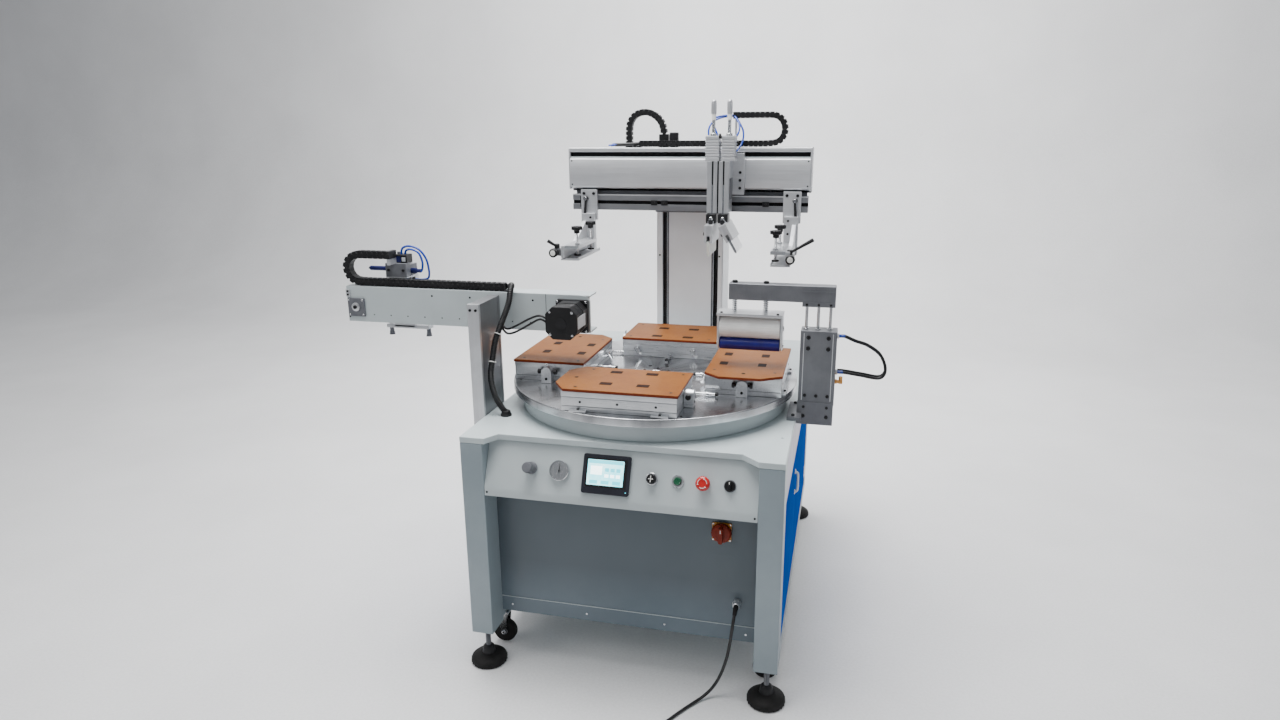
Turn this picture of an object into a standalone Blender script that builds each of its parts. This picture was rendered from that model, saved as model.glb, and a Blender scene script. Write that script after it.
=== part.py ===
"""Automatic four-station screen printing carousel.

A steel base cabinet on levelling feet carries an indexing turntable with four
work fixtures, a rear column with a lifting print beam, an unloading arm on the
left and a roller cleaning station on the right.

Working frame: turntable axis at the origin, floor at Z = 0, +X right, +Y back.
The MACHINE empty then moves everything so that the object is centred.
"""
import math

import bmesh
import bpy
from mathutils import Matrix, Vector

# ---------------------------------------------------------------- dimensions (m)
GAP = 0.0003                    # clearance between pieces that touch

HALF_W = 0.460                  # half width of the base cabinet
FRONT_Y = -0.491                # front face of the front legs
REAR_Y = 0.840                  # rear face of the rear legs
LEG_X = 0.068                   # leg width, left to right
LEG_Y = 0.085                   # leg depth, front to back
LEG_BOTTOM = 0.120
TABLE_Z = 0.753                 # upper face of the table top
TABLE_T = 0.018
RAIL_Z = 0.600                  # lower edge of the upper side rails
SILL_Z = 0.160                  # upper edge of the lower side rails
DOOR_T = 0.014

FOOT_X = 0.428
FOOT_YS = (-0.449, 0.7975)
PAD_R = 0.055
CASTER_X = 0.415
CASTER_YS = (-0.345, 0.690)
CASTER_R = 0.0375
CASTER_Z = 0.0445

DRUM_R = 0.425
DRUM_H = 0.052
DISC_R = 0.452
DISC_T = 0.025
DISC_Z = TABLE_Z + DRUM_H + DISC_T
SHAFT_R = 0.030
BLOCK_H = 0.0567
PLATE_T = 0.008
PLATE_Z = DISC_Z + BLOCK_H + PLATE_T
POCKET_DEPTH = 0.0035

COL_X0, COL_X1 = -0.118, 0.132
COL_Y0, COL_Y1 = 0.550, 0.720
COL_TOP = 1.500
BEAM_X0, BEAM_X1 = -0.404, 0.451
BEAM_Z0, BEAM_Z1 = 1.375, 1.527
RAIL_FRONT_Y = 0.400
T_RAIL_Z0, T_RAIL_Z1 = 1.310, 1.365

CAR_X0, CAR_X1 = 0.1135, 0.1875       # print carriage profile
CAR_Z0, CAR_Z1 = 1.315, 1.486
SQUEEGEE_X = 0.130
FLOOD_X = 0.170
HEAD_Y = 0.315
BLADE_Y0, BLADE_Y1 = 0.225, 0.375

ARM_LEFT_X = -0.330
ARM_RIGHT_X = 0.390
SHELF_Z = 1.168

UN_X0, UN_X1 = -0.995, -0.165         # unloading beam
UN_Y0, UN_Y1 = -0.155, -0.085
UN_Z0, UN_Z1 = 0.990, 1.107
MOTOR_X, MOTOR_Z = -0.220, 1.0435
MOTOR_W = 0.098
UNC_X0, UNC_X1 = -0.872, -0.797       # unloading carriage

CL_X0, CL_X1 = 0.4623, 0.568          # cleaning station body
CL_Y0, CL_Y1 = -0.100, -0.040
CL_Z0, CL_Z1 = 0.7903, 1.018
ROD_XS = (0.4765, 0.5105, 0.5455)
ROD_R = 0.0045
YOKE_X0, YOKE_X1 = 0.2125, 0.409
WHITE_R, WHITE_Z, WHITE_Y = 0.0325, 1.0125, -0.066
BLUE_R, BLUE_Z, BLUE_Y = 0.0185, 0.9613, -0.070
AXLE_R = 0.005

PANEL_TILT = math.radians(24.0)       # operator panel, leaning back from vertical
PANEL_FOOT = Vector((0.0, FRONT_Y, 0.606))
PANEL_ROW = 0.0655                    # height of the row of controls up the panel
SHEET = 0.003

CORD_R = 0.0045
COIL_R = 0.0495                       # radius at the middle of the coil's turns
COIL_C = (0.052, -0.735)

# place of the turntable axis in the finished model
AXIS_X = 0.1448
AXIS_Y = -0.1706

# ---------------------------------------------------------------- scene and materials
for old in list(bpy.data.objects):
    bpy.data.objects.remove(old, do_unlink=True)

parts = bpy.data.collections.new("screen_printing_carousel")
cutters = bpy.data.collections.new("cutters")
bpy.context.scene.collection.children.link(parts)
bpy.context.scene.collection.children.link(cutters)
cutters.hide_render = True

LOOKS = {
    "white_enamel": ((0.78, 0.80, 0.80), 0.45, 0.0),
    "blue_enamel": ((0.02, 0.09, 0.36), 0.40, 0.0),
    "aluminium": ((0.72, 0.73, 0.74), 0.35, 1.0),
    "dark_anodised": ((0.24, 0.25, 0.27), 0.45, 0.6),
    "steel": ((0.55, 0.56, 0.57), 0.30, 1.0),
    "bakelite": ((0.56, 0.22, 0.08), 0.45, 0.0),
    "black_plastic": ((0.02, 0.02, 0.022), 0.50, 0.0),
    "black_rubber": ((0.015, 0.015, 0.016), 0.75, 0.0),
    "roller_white": ((0.86, 0.86, 0.84), 0.40, 0.0),
    "roller_blue": ((0.02, 0.02, 0.32), 0.35, 0.0),
    "screen_glass": ((0.30, 0.75, 0.80), 0.10, 0.0),
    "green_plastic": ((0.02, 0.22, 0.08), 0.40, 0.0),
    "red_plastic": ((0.65, 0.04, 0.03), 0.40, 0.0),
    "grey_plastic": ((0.30, 0.31, 0.33), 0.50, 0.0),
    "grey_enamel": ((0.36, 0.38, 0.42), 0.45, 0.0),
}


def material(look):
    mat = bpy.data.materials.get(look)
    if mat:
        return mat
    colour, rough, metal = LOOKS[look]
    mat = bpy.data.materials.new(look)
    mat.use_nodes = True
    shader = mat.node_tree.nodes["Principled BSDF"]
    shader.inputs["Base Color"].default_value = (*colour, 1.0)
    shader.inputs["Roughness"].default_value = rough
    shader.inputs["Metallic"].default_value = metal
    return mat


machine = bpy.data.objects.new("MACHINE", None)
machine.location = (AXIS_X, AXIS_Y, 0.0)
parts.objects.link(machine)


def joint(name, at, rot=(0.0, 0.0, 0.0), parent=machine):
    """An empty on a joint's axis; pieces hang from it."""
    empty = bpy.data.objects.new(name, None)
    empty.location = at
    empty.rotation_euler = rot
    empty.parent = parent
    empty.empty_display_size = 0.05
    parts.objects.link(empty)
    return empty


# ---------------------------------------------------------------- mesh builders
def mesh_from(bm, name):
    mesh = bpy.data.meshes.new(name)
    bm.to_mesh(mesh)
    bm.free()
    return mesh


def box_mesh(x0, x1, y0, y1, z0, z1):
    bm = bmesh.new()
    size = Matrix.Diagonal((x1 - x0, y1 - y0, z1 - z0, 1.0))
    centre = Matrix.Translation(((x0 + x1) / 2, (y0 + y1) / 2, (z0 + z1) / 2))
    bmesh.ops.create_cube(bm, size=1.0, matrix=centre @ size)
    return mesh_from(bm, "box")


def rod_mesh(a, b, radius, radius_b=None, segments=20):
    """A round bar from point a to point b."""
    a, b = Vector(a), Vector(b)
    turn = (b - a).to_track_quat("Z", "Y").to_matrix().to_4x4()
    bm = bmesh.new()
    bmesh.ops.create_cone(
        bm,
        cap_ends=True,
        segments=segments,
        radius1=radius,
        radius2=radius if radius_b is None else radius_b,
        depth=(b - a).length,
        matrix=Matrix.Translation((a + b) / 2) @ turn,
    )
    return mesh_from(bm, "rod")


def prism_mesh(outline, x0, x1):
    """A Y-Z outline, drawn anticlockwise, extruded from x0 to x1."""
    bm = bmesh.new()
    face = bm.faces.new([bm.verts.new((x0, y, z)) for y, z in outline])
    grown = bmesh.ops.extrude_face_region(bm, geom=[face])
    moved = [v for v in grown["geom"] if isinstance(v, bmesh.types.BMVert)]
    bmesh.ops.translate(bm, verts=moved, vec=(x1 - x0, 0.0, 0.0))
    bmesh.ops.recalc_face_normals(bm, faces=bm.faces)
    return mesh_from(bm, "prism")


def place(name, mesh, look, parent=machine, matrix=None):
    obj = bpy.data.objects.new(name, mesh)
    mesh.name = name
    mesh.materials.clear()
    mesh.materials.append(material(look))
    obj.parent = parent
    if matrix is not None:
        obj.matrix_basis = matrix
    parts.objects.link(obj)
    return obj


def smooth(obj, angle=35.0):
    obj.data.shade_smooth()
    obj.data.set_sharp_from_angle(angle=math.radians(angle))
    return obj


def apply_tool(target, mesh, operation):
    """Join a mesh to the target, or cut it away, with a Boolean."""
    tool = bpy.data.objects.new(f"{target.name}_tool", mesh)
    tool.parent = target.parent
    tool.matrix_basis = target.matrix_basis
    tool.hide_render = True
    tool.display_type = "WIRE"
    cutters.objects.link(tool)
    mod = target.modifiers.new(operation.lower(), "BOOLEAN")
    mod.object = tool
    mod.operation = operation
    mod.solver = "EXACT"


def join(target, *meshes):
    for mesh in meshes:
        apply_tool(target, mesh, "UNION")
    return target


def cut(target, *meshes):
    for mesh in meshes:
        apply_tool(target, mesh, "DIFFERENCE")
    return target


def bevel(obj, width, segments=1):
    mod = obj.modifiers.new("bevel", "BEVEL")
    mod.width = width
    mod.segments = segments
    mod.limit_method = "ANGLE"
    mod.angle_limit = math.radians(40.0)
    return obj


def turned(name, profile, look, parent=machine, matrix=None, steps=32):
    """A piece turned about its Z axis; the profile runs top to bottom at +X."""
    mesh = bpy.data.meshes.new(name)
    closed = [(x, 0.0, z) for x, z in profile]
    edges = [(i, i + 1) for i in range(len(closed) - 1)]
    if profile[0][0] > 0.0:
        edges.append((len(closed) - 1, 0))
    mesh.from_pydata(closed, edges, [])
    obj = place(name, mesh, look, parent, matrix)
    mod = obj.modifiers.new("screw", "SCREW")
    mod.steps = steps
    mod.render_steps = steps
    mod.use_merge_vertices = True
    mod.merge_threshold = 0.00005
    mod.use_smooth_shade = False
    return obj


def plate(name, outline, thickness, look, parent=machine, matrix=None):
    """A flat outline in X-Y, thickness centred on Z = 0."""
    curve = bpy.data.curves.new(name, "CURVE")
    curve.dimensions = "2D"
    curve.fill_mode = "BOTH"
    curve.extrude = thickness / 2
    spline = curve.splines.new("POLY")
    spline.points.add(len(outline) - 1)
    for point, (x, y) in zip(spline.points, outline):
        point.co = (x, y, 0.0, 1.0)
    spline.use_cyclic_u = True
    flat = bpy.data.objects.new(name, curve)
    cutters.objects.link(flat)
    ready = flat.evaluated_get(bpy.context.evaluated_depsgraph_get())
    mesh = bpy.data.meshes.new_from_object(ready)
    bpy.data.objects.remove(flat)
    bm = bmesh.new()
    bm.from_mesh(mesh)
    bmesh.ops.remove_doubles(bm, verts=bm.verts, dist=0.00001)
    bm.to_mesh(mesh)
    bm.free()
    return place(name, mesh, look, parent, matrix)


def tube(name, points, radius, look, parent=machine, resolution=2):
    """A round hose or cable through smooth points."""
    curve = bpy.data.curves.new(name, "CURVE")
    curve.dimensions = "3D"
    curve.bevel_depth = radius
    curve.bevel_resolution = resolution
    curve.use_fill_caps = True
    spline = curve.splines.new("POLY")
    spline.points.add(len(points) - 1)
    for point, co in zip(spline.points, points):
        point.co = (*co, 1.0)
    curve.materials.append(material(look))
    obj = bpy.data.objects.new(name, curve)
    obj.parent = parent
    parts.objects.link(obj)
    return obj


def flowing(knots, step):
    """Evenly spaced points on a Catmull-Rom curve through the knots."""
    pts = [Vector(k) for k in knots]
    pts = [2 * pts[0] - pts[1]] + pts + [2 * pts[-1] - pts[-2]]
    dense = []
    for i in range(1, len(pts) - 2):
        a, b, c, d = pts[i - 1:i + 3]
        for n in range(40):
            t = n / 40
            dense.append(
                0.5 * (2 * b + (c - a) * t + (2 * a - 5 * b + 4 * c - d) * t * t
                       + (3 * b - a - 3 * c + d) * t ** 3)
            )
    dense.append(pts[-2])
    out = [dense[0]]
    walked = 0.0
    for a, b in zip(dense, dense[1:]):
        walked += (b - a).length
        if walked >= step:
            out.append(b)
            walked = 0.0
    if (out[-1] - dense[-1]).length < step / 2:
        out.pop()
    out.append(dense[-1])
    return out


# ---------------------------------------------------------------- base cabinet
def side_frame(name, side):
    """Two hollow legs, an upper and a lower rail, and the two caster forks."""
    outer = side * HALF_W
    inner = side * (HALF_W - LEG_X)

    def span(a, b):
        return (min(a, b), max(a, b))

    top = TABLE_Z - TABLE_T - GAP
    front = box_mesh(*span(inner, outer), FRONT_Y, FRONT_Y + LEG_Y, LEG_BOTTOM, top)
    frame = place(name, front, "white_enamel")
    join(frame, box_mesh(*span(inner, outer), REAR_Y - LEG_Y, REAR_Y, LEG_BOTTOM, top))
    rail = span(outer - side * 0.045, outer)
    join(frame, box_mesh(*rail, FRONT_Y + 0.05, REAR_Y - 0.05, RAIL_Z, top))
    sill = span(outer - side * 0.060, outer)
    join(frame, box_mesh(*sill, FRONT_Y + 0.05, REAR_Y - 0.05, LEG_BOTTOM, SILL_Z))
    hollow = span(inner + side * 0.005, outer - side * 0.005)
    for y in (FRONT_Y, REAR_Y - LEG_Y):
        cut(frame, box_mesh(*hollow, y + 0.005, y + LEG_Y - 0.005, SILL_Z + 0.01, top + 0.02))
    rail_hollow = span(outer - side * 0.041, outer - side * 0.004)
    cut(frame, box_mesh(*rail_hollow, FRONT_Y + LEG_Y + 0.004, REAR_Y - LEG_Y - 0.004, RAIL_Z + 0.004, top + 0.02))
    sill_hollow = span(outer - side * 0.055, outer - side * 0.005)
    cut(frame, box_mesh(*sill_hollow, CASTER_YS[0] + 0.030, CASTER_YS[1] - 0.030, LEG_BOTTOM - 0.02, SILL_Z - 0.004))
    for y in CASTER_YS:
        x = side * CASTER_X
        join(frame, box_mesh(x - 0.022, x + 0.022, y - 0.022, y + 0.022, 0.112, 0.125))
        for cheek in (-1, 1):
            yc = y + cheek * 0.0165
            join(frame, box_mesh(x - 0.012, x + 0.012, yc - 0.002, yc + 0.002, 0.036, 0.115))
        join(frame, rod_mesh((x, y - 0.017, CASTER_Z), (x, y + 0.017, CASTER_Z), AXLE_R, segments=12))
    return frame


side_frame("side_frame_left", -1)
side_frame("side_frame_right", 1)

inside = HALF_W - LEG_X - GAP
top_outline = [
    (-HALF_W, FRONT_Y), (-0.385, FRONT_Y), (-0.360, FRONT_Y + 0.046), (0.343, FRONT_Y + 0.046),
    (0.390, FRONT_Y), (HALF_W, FRONT_Y), (HALF_W, REAR_Y), (-HALF_W, REAR_Y),
]
table_top = plate(
    "table_top", top_outline, TABLE_T, "white_enamel",
    matrix=Matrix.Translation((0.0, 0.0, TABLE_Z - TABLE_T / 2)),
)
bore = rod_mesh((0.0, 0.0, -0.05), (0.0, 0.0, 0.05), SHAFT_R + 0.004, segments=24)
cut(table_top, bore)

# operator panel: a folded sheet trough with a sloping face and a short front lip
lean = Vector((0.0, math.sin(PANEL_TILT), math.cos(PANEL_TILT)))
panel_top_z = TABLE_Z - TABLE_T - GAP
panel_top_y = FRONT_Y + (panel_top_z - PANEL_FOOT.z) * math.tan(PANEL_TILT)
panel_back = FRONT_Y + LEG_Y - GAP
outer_outline = [
    (FRONT_Y + 0.001, 0.578), (panel_back, 0.578), (panel_back, panel_top_z),
    (panel_top_y, panel_top_z), (FRONT_Y + 0.001, 0.606),
]
panel = place("control_panel", prism_mesh(outer_outline, -inside, inside), "white_enamel")
inner_outline = [
    (FRONT_Y + 0.001 + SHEET, 0.578 + SHEET), (panel_back + 0.02, 0.578 + SHEET),
    (panel_back + 0.02, panel_top_z - SHEET), (panel_top_y + SHEET * 0.6, panel_top_z - SHEET),
    (FRONT_Y + 0.001 + SHEET, 0.606 - SHEET * 0.4),
]
cut(panel, prism_mesh(inner_outline, -inside + SHEET, inside - SHEET))

normal = Vector((0.0, -math.cos(PANEL_TILT), math.sin(PANEL_TILT)))


def on_panel(x, out=0.0, up=PANEL_ROW):
    return PANEL_FOOT + Vector((x, 0.0, 0.0)) + lean * up + normal * out


def panel_frame(x, up=PANEL_ROW):
    """Local axes on the operator panel: Z out of the face, Y up the face."""
    rot = Matrix((Vector((1.0, 0.0, 0.0)), lean, normal)).transposed().to_4x4()
    return Matrix.Translation(on_panel(x, 0.0, up)) @ rot


# pressure gauge case, standing proud of the panel with a dished face
GAUGE_X = -0.169
join(panel, rod_mesh(on_panel(GAUGE_X, -0.002), on_panel(GAUGE_X, 0.011), 0.029, segments=28))
cut(panel, rod_mesh(on_panel(GAUGE_X, 0.006), on_panel(GAUGE_X, 0.020), 0.0255, segments=28))
for x in (0.170, 0.242):
    cut(panel, rod_mesh(on_panel(x, -0.02), on_panel(x, 0.02), 0.0068, segments=16))

front_panel = place(
    "inner_front_panel",
    box_mesh(-0.398, 0.398, FRONT_Y + LEG_Y + GAP, FRONT_Y + LEG_Y + GAP + SHEET, SILL_Z - 0.003, 0.5775),
    "white_enamel",
)
face_y = FRONT_Y + LEG_Y + GAP
ISOLATOR = (0.285, 0.500)
GLAND = (0.333, 0.283)
join(front_panel, box_mesh(0.255, 0.315, face_y - 0.004, face_y + 0.001, 0.470, 0.530))
join(front_panel, rod_mesh((GLAND[0], face_y - 0.012, GLAND[1]), (GLAND[0], face_y + 0.002, GLAND[1]), 0.0125, segments=6))
join(front_panel, rod_mesh((GLAND[0], face_y - 0.026, GLAND[1]), (GLAND[0], face_y - 0.010, GLAND[1]), 0.0085, segments=14))
cut(front_panel, rod_mesh((GLAND[0], face_y - 0.030, GLAND[1]), (GLAND[0], face_y - 0.006, GLAND[1]), CORD_R + 0.0014, segments=14))

# sheet rear cover with the floor pan folded forward from its lower edge
rear_cover = place(
    "rear_cover",
    box_mesh(-0.398, 0.398, REAR_Y - LEG_Y - SHEET - GAP, REAR_Y - LEG_Y - GAP, SILL_Z - 0.02, 0.7345),
    "white_enamel",
)
join(rear_cover, box_mesh(-0.398, 0.398, face_y + SHEET + GAP, REAR_Y - LEG_Y - GAP, SILL_Z, SILL_Z + 0.003))

window_y0 = FRONT_Y + LEG_Y
window_y1 = REAR_Y - LEG_Y
place(
    "side_panel_left",
    box_mesh(-HALF_W + 0.002, -HALF_W + 0.005, window_y0 + GAP, window_y1 - GAP, SILL_Z + GAP, RAIL_Z - GAP),
    "blue_enamel",
)

DOOR_AXIS = (HALF_W, window_y1 - 0.0025)
door_hinge = joint("door_hinge", (*DOOR_AXIS, (SILL_Z + RAIL_Z) / 2))
door = place(
    "side_door_right",
    box_mesh(-DOOR_T - 0.002, -0.002, window_y0 + 0.003 - DOOR_AXIS[1], -0.0015, -0.217, 0.217),
    "blue_enamel", door_hinge,
)
skin = DOOR_T + 0.002
cut(door, box_mesh(-skin - 0.02, -0.005, window_y0 + 0.006 - DOOR_AXIS[1], -0.0045, -0.214, 0.214))
handle_y = 0.030 - DOOR_AXIS[1]
join(door, box_mesh(-0.004, 0.008, handle_y - 0.016, handle_y + 0.016, 0.062, 0.142))
cut(door, box_mesh(-0.0035, 0.004, handle_y - 0.010, handle_y + 0.030, 0.070, 0.134))

# levelling feet and casters
CORNERS = {
    "front_left": (-1, 0), "front_right": (1, 0), "rear_left": (-1, 1), "rear_right": (1, 1),
}
foot_profile = [
    (0.0, LEG_BOTTOM - GAP), (0.016, LEG_BOTTOM - GAP), (0.016, 0.104), (0.008, 0.103),
    (0.008, 0.058), (0.017, 0.052), (0.022, 0.032), (0.048, 0.024), (PAD_R, 0.014),
    (PAD_R - 0.003, 0.0), (0.0, 0.0),
]
for corner, (side, row) in CORNERS.items():
    turn = joint(f"foot_turn_{corner}", (side * FOOT_X, FOOT_YS[row], 0.0))
    turned(f"foot_{corner}", foot_profile, "black_rubber", turn, steps=20)
    roll = joint(
        f"caster_roll_{corner}", (side * CASTER_X, CASTER_YS[row], CASTER_Z),
        (math.radians(90.0), 0.0, 0.0),
    )
    wheel_profile = [
        (CASTER_R - 0.003, 0.012), (CASTER_R, 0.008), (CASTER_R, -0.008), (CASTER_R - 0.003, -0.012),
        (AXLE_R + 0.0005, -0.012), (AXLE_R + 0.0005, 0.012),
    ]
    turned(f"caster_wheel_{corner}", wheel_profile, "black_rubber", roll, steps=20)

# ---------------------------------------------------------------- turntable
drive = place(
    "index_drive", box_mesh(-0.11, 0.11, -0.095, 0.095, 0.590, TABLE_Z - TABLE_T - GAP), "grey_enamel",
)
join(drive, box_mesh(-0.045, 0.045, -0.045, 0.045, 0.370, 0.595))
join(drive, rod_mesh((-0.19, 0.0, 0.655), (-0.10, 0.0, 0.655), 0.030, segments=18))
cut(drive, rod_mesh((0.0, 0.0, 0.655), (0.0, 0.0, 0.80), SHAFT_R + 0.001, segments=24))

turned(
    "turntable_drum",
    [(DRUM_R - 0.030, TABLE_Z + DRUM_H - GAP), (DRUM_R, TABLE_Z + DRUM_H - GAP),
     (DRUM_R, TABLE_Z + GAP), (DRUM_R - 0.030, TABLE_Z + GAP)],
    "white_enamel", steps=64,
)

index_axis = joint("index_axis", (0.0, 0.0, DISC_Z))
disc_profile = [
    (0.0, 0.003), (0.060, 0.003), (0.063, 0.0), (DISC_R - 0.002, 0.0), (DISC_R, -0.002),
    (DISC_R, -DISC_T + 0.002), (DISC_R - 0.002, -DISC_T), (0.070, -DISC_T), (SHAFT_R, -DISC_T - 0.004),
    (SHAFT_R, 0.660 - DISC_Z), (0.0, 0.660 - DISC_Z),
]
turned("turntable_disc", disc_profile, "aluminium", index_axis, steps=64)

plate_outline = [
    (-0.210, -0.360), (-0.170, -0.421), (0.160, -0.421), (0.160, -0.190), (-0.170, -0.190), (-0.210, -0.236),
]
STATIONS = ("front", "right", "back", "left")
for n, station in enumerate(STATIONS):
    seat = joint(f"station_{station}", (0.0, 0.0, 0.0), (0.0, 0.0, n * math.pi / 2), index_axis)
    block = place(
        f"fixture_block_{station}",
        box_mesh(-0.176, 0.157, -0.4185, -0.192, GAP, BLOCK_H - GAP), "aluminium", seat,
    )
    for x0, x1, xs in ((-0.198, -0.174, -0.189), (0.155, 0.186, 0.1775)):
        join(block, box_mesh(x0, x1, -0.326, -0.284, GAP, 0.034))
        join(block, rod_mesh((x0, -0.305, 0.034), (x1, -0.305, 0.034), 0.0208, segments=16))
        if xs > 0:
            join(block, rod_mesh((xs, -0.305, 0.04), (xs, -0.305, 0.062), 0.003, segments=8))
    fixture = plate(
        f"fixture_plate_{station}", plate_outline, PLATE_T, "bakelite", seat,
        Matrix.Translation((0.0, 0.0, BLOCK_H + PLATE_T / 2)),
    )
    floor = PLATE_T / 2 - POCKET_DEPTH
    for px in (-0.0632, 0.0455):
        for py in (-0.350, -0.2325):
            cut(fixture, box_mesh(px - 0.015, px + 0.015, py - 0.009, py + 0.009, floor, 0.02))
    cut(fixture, rod_mesh((-0.165, -0.305, floor), (-0.165, -0.305, 0.02), 0.006, segments=12))

# ---------------------------------------------------------------- rear column and print beam
column = place(
    "column", box_mesh(COL_X0, COL_X1, COL_Y0, COL_Y1, TABLE_Z + GAP, COL_TOP), "white_enamel",
)
cut(column, box_mesh(COL_X0 + 0.010, COL_X1 - 0.010, COL_Y0 + 0.022, COL_Y1 - 0.010, TABLE_Z + 0.012, COL_TOP + 0.05))
SLOT_XS = (-0.0875, 0.1065)
for x in SLOT_XS:
    cut(column, box_mesh(x - 0.0085, x + 0.0085, COL_Y0 - 0.01, COL_Y0 + 0.014, 0.80, COL_TOP + 0.05))

lift = joint("head_lift", (0.0, COL_Y0, BEAM_Z0))
to_lift = Matrix.Translation((0.0, -COL_Y0, -BEAM_Z0))
beam = place(
    "print_beam", box_mesh(BEAM_X0, BEAM_X1, 0.430, 0.500, BEAM_Z0, BEAM_Z1), "white_enamel",
    lift, to_lift,
)
join(beam, box_mesh(BEAM_X0, BEAM_X1, 0.390, 0.450, 1.512, BEAM_Z1))
fascia = [
    (0.4400, 1.390), (0.4400, 1.491), (0.3990, 1.495), (0.3900, 1.488), (0.3862, 1.468),
    (0.3850, 1.4405), (0.3862, 1.413), (0.3900, 1.393), (0.3990, 1.386),
]
join(beam, prism_mesh(fascia, BEAM_X0 + 0.004, BEAM_X1 - 0.004))
for x0, x1 in ((BEAM_X0, BEAM_X0 + 0.006), (BEAM_X1 - 0.006, BEAM_X1)):
    join(beam, box_mesh(x0, x1, 0.389, 0.450, 1.383, BEAM_Z1 - 0.005))
for x0, x1 in ((BEAM_X0 + 0.012, -0.002), (0.014, BEAM_X1 - 0.012)):
    cut(beam, box_mesh(x0, x1, 0.396, 0.450, 1.396, 1.484), box_mesh(x0, x1, 0.438, 0.520, 1.382, 1.505))
join(beam, box_mesh(-0.396, 0.443, RAIL_FRONT_Y, 0.440, T_RAIL_Z0, T_RAIL_Z1))
cut(beam, box_mesh(-0.42, 0.46, RAIL_FRONT_Y - 0.01, RAIL_FRONT_Y + 0.008, 1.332, 1.343))
join(beam, box_mesh(-0.390, 0.437, 0.4300, 0.445, 1.350, 1.385))
join(beam, box_mesh(-0.100, 0.118, 0.480, COL_Y0 - GAP, 1.300, 1.512))
cut(beam, box_mesh(-0.090, 0.108, 0.505, COL_Y0 - 0.012, 1.310, 1.530))
for x in SLOT_XS:
    join(beam, box_mesh(x - 0.0070, x + 0.0070, COL_Y0 - 0.008, COL_Y0 + 0.012, 1.310, 1.490))

# ---------------------------------------------------------------- print carriage
stroke = joint("print_stroke", (0.150, 0.350, 1.400), parent=lift)
stroke.matrix_basis = Matrix.Translation((0.150, 0.350 - COL_Y0, 1.400 - BEAM_Z0))
to_stroke = Matrix.Translation((-0.150, -0.350, -1.400))
carriage = place(
    "print_carriage", box_mesh(0.110, 0.228, 0.364, 0.3845, 1.372, 1.496), "aluminium", stroke, to_stroke,
)
join(carriage, box_mesh(0.112, 0.226, 0.364, 0.386, 1.494, 1.509))
join(carriage, box_mesh(0.114, 0.224, 0.380, 0.424, 1.4975, 1.509))
join(carriage, box_mesh(CAR_X0, CAR_X1, 0.286, 0.366, CAR_Z0, CAR_Z1))
for x in (0.1295, 0.1820):
    join(carriage, box_mesh(x - 0.0235, x + 0.0235, 0.288, 0.336, CAR_Z1 - 0.004, 1.5665))
    join(carriage, rod_mesh((x, 0.312, 1.560), (x, 0.312, 1.640), 0.0055, segments=12))
    join(carriage, rod_mesh((x, 0.312, 1.630), (x, 0.312, 1.681), 0.0085, segments=12))
for x in (0.1320, 0.1500, 0.1690):
    cut(carriage, box_mesh(x - 0.0025, x + 0.0025, 0.280, 0.291, CAR_Z0 - 0.01, CAR_Z1 - 0.008))
for x in (SQUEEGEE_X, FLOOD_X):
    cut(carriage, box_mesh(x - 0.0085, x + 0.0085, HEAD_Y - 0.0085, HEAD_Y + 0.0085, CAR_Z0 - 0.02, 1.420))


def printing_tool(name, x, tilt):
    """A blade holder on a square slide rod; the blade runs front to back."""
    axis = joint(f"{name}_stroke", (x - 0.150, HEAD_Y - 0.350, CAR_Z0 - 1.400), parent=stroke)
    body = place(
        name, box_mesh(-0.0075, 0.0075, -0.0075, 0.0075, -0.040, 0.095), "aluminium", axis,
    )
    join(body, box_mesh(-0.017, 0.017, -0.025, 0.025, -0.032, -0.002))
    y0, y1 = BLADE_Y0 - HEAD_Y, BLADE_Y1 - HEAD_Y
    swing = Matrix.Translation((0.0, 0.0, -0.028)) @ Matrix.Rotation(tilt, 4, "Y")
    holder = box_mesh(-0.014, 0.014, y0, y1, -0.066, 0.004)
    blade = prism_mesh([(y0, -0.110), (y1, -0.110), (y1, -0.060), (y0, -0.060)], -0.0045, 0.0045)
    for piece in (holder, blade):
        piece.transform(swing)
        join(body, piece)
    return body


printing_tool("squeegee_head", SQUEEGEE_X, 0.0)
printing_tool("flood_head", FLOOD_X, math.radians(-30.0))


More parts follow.
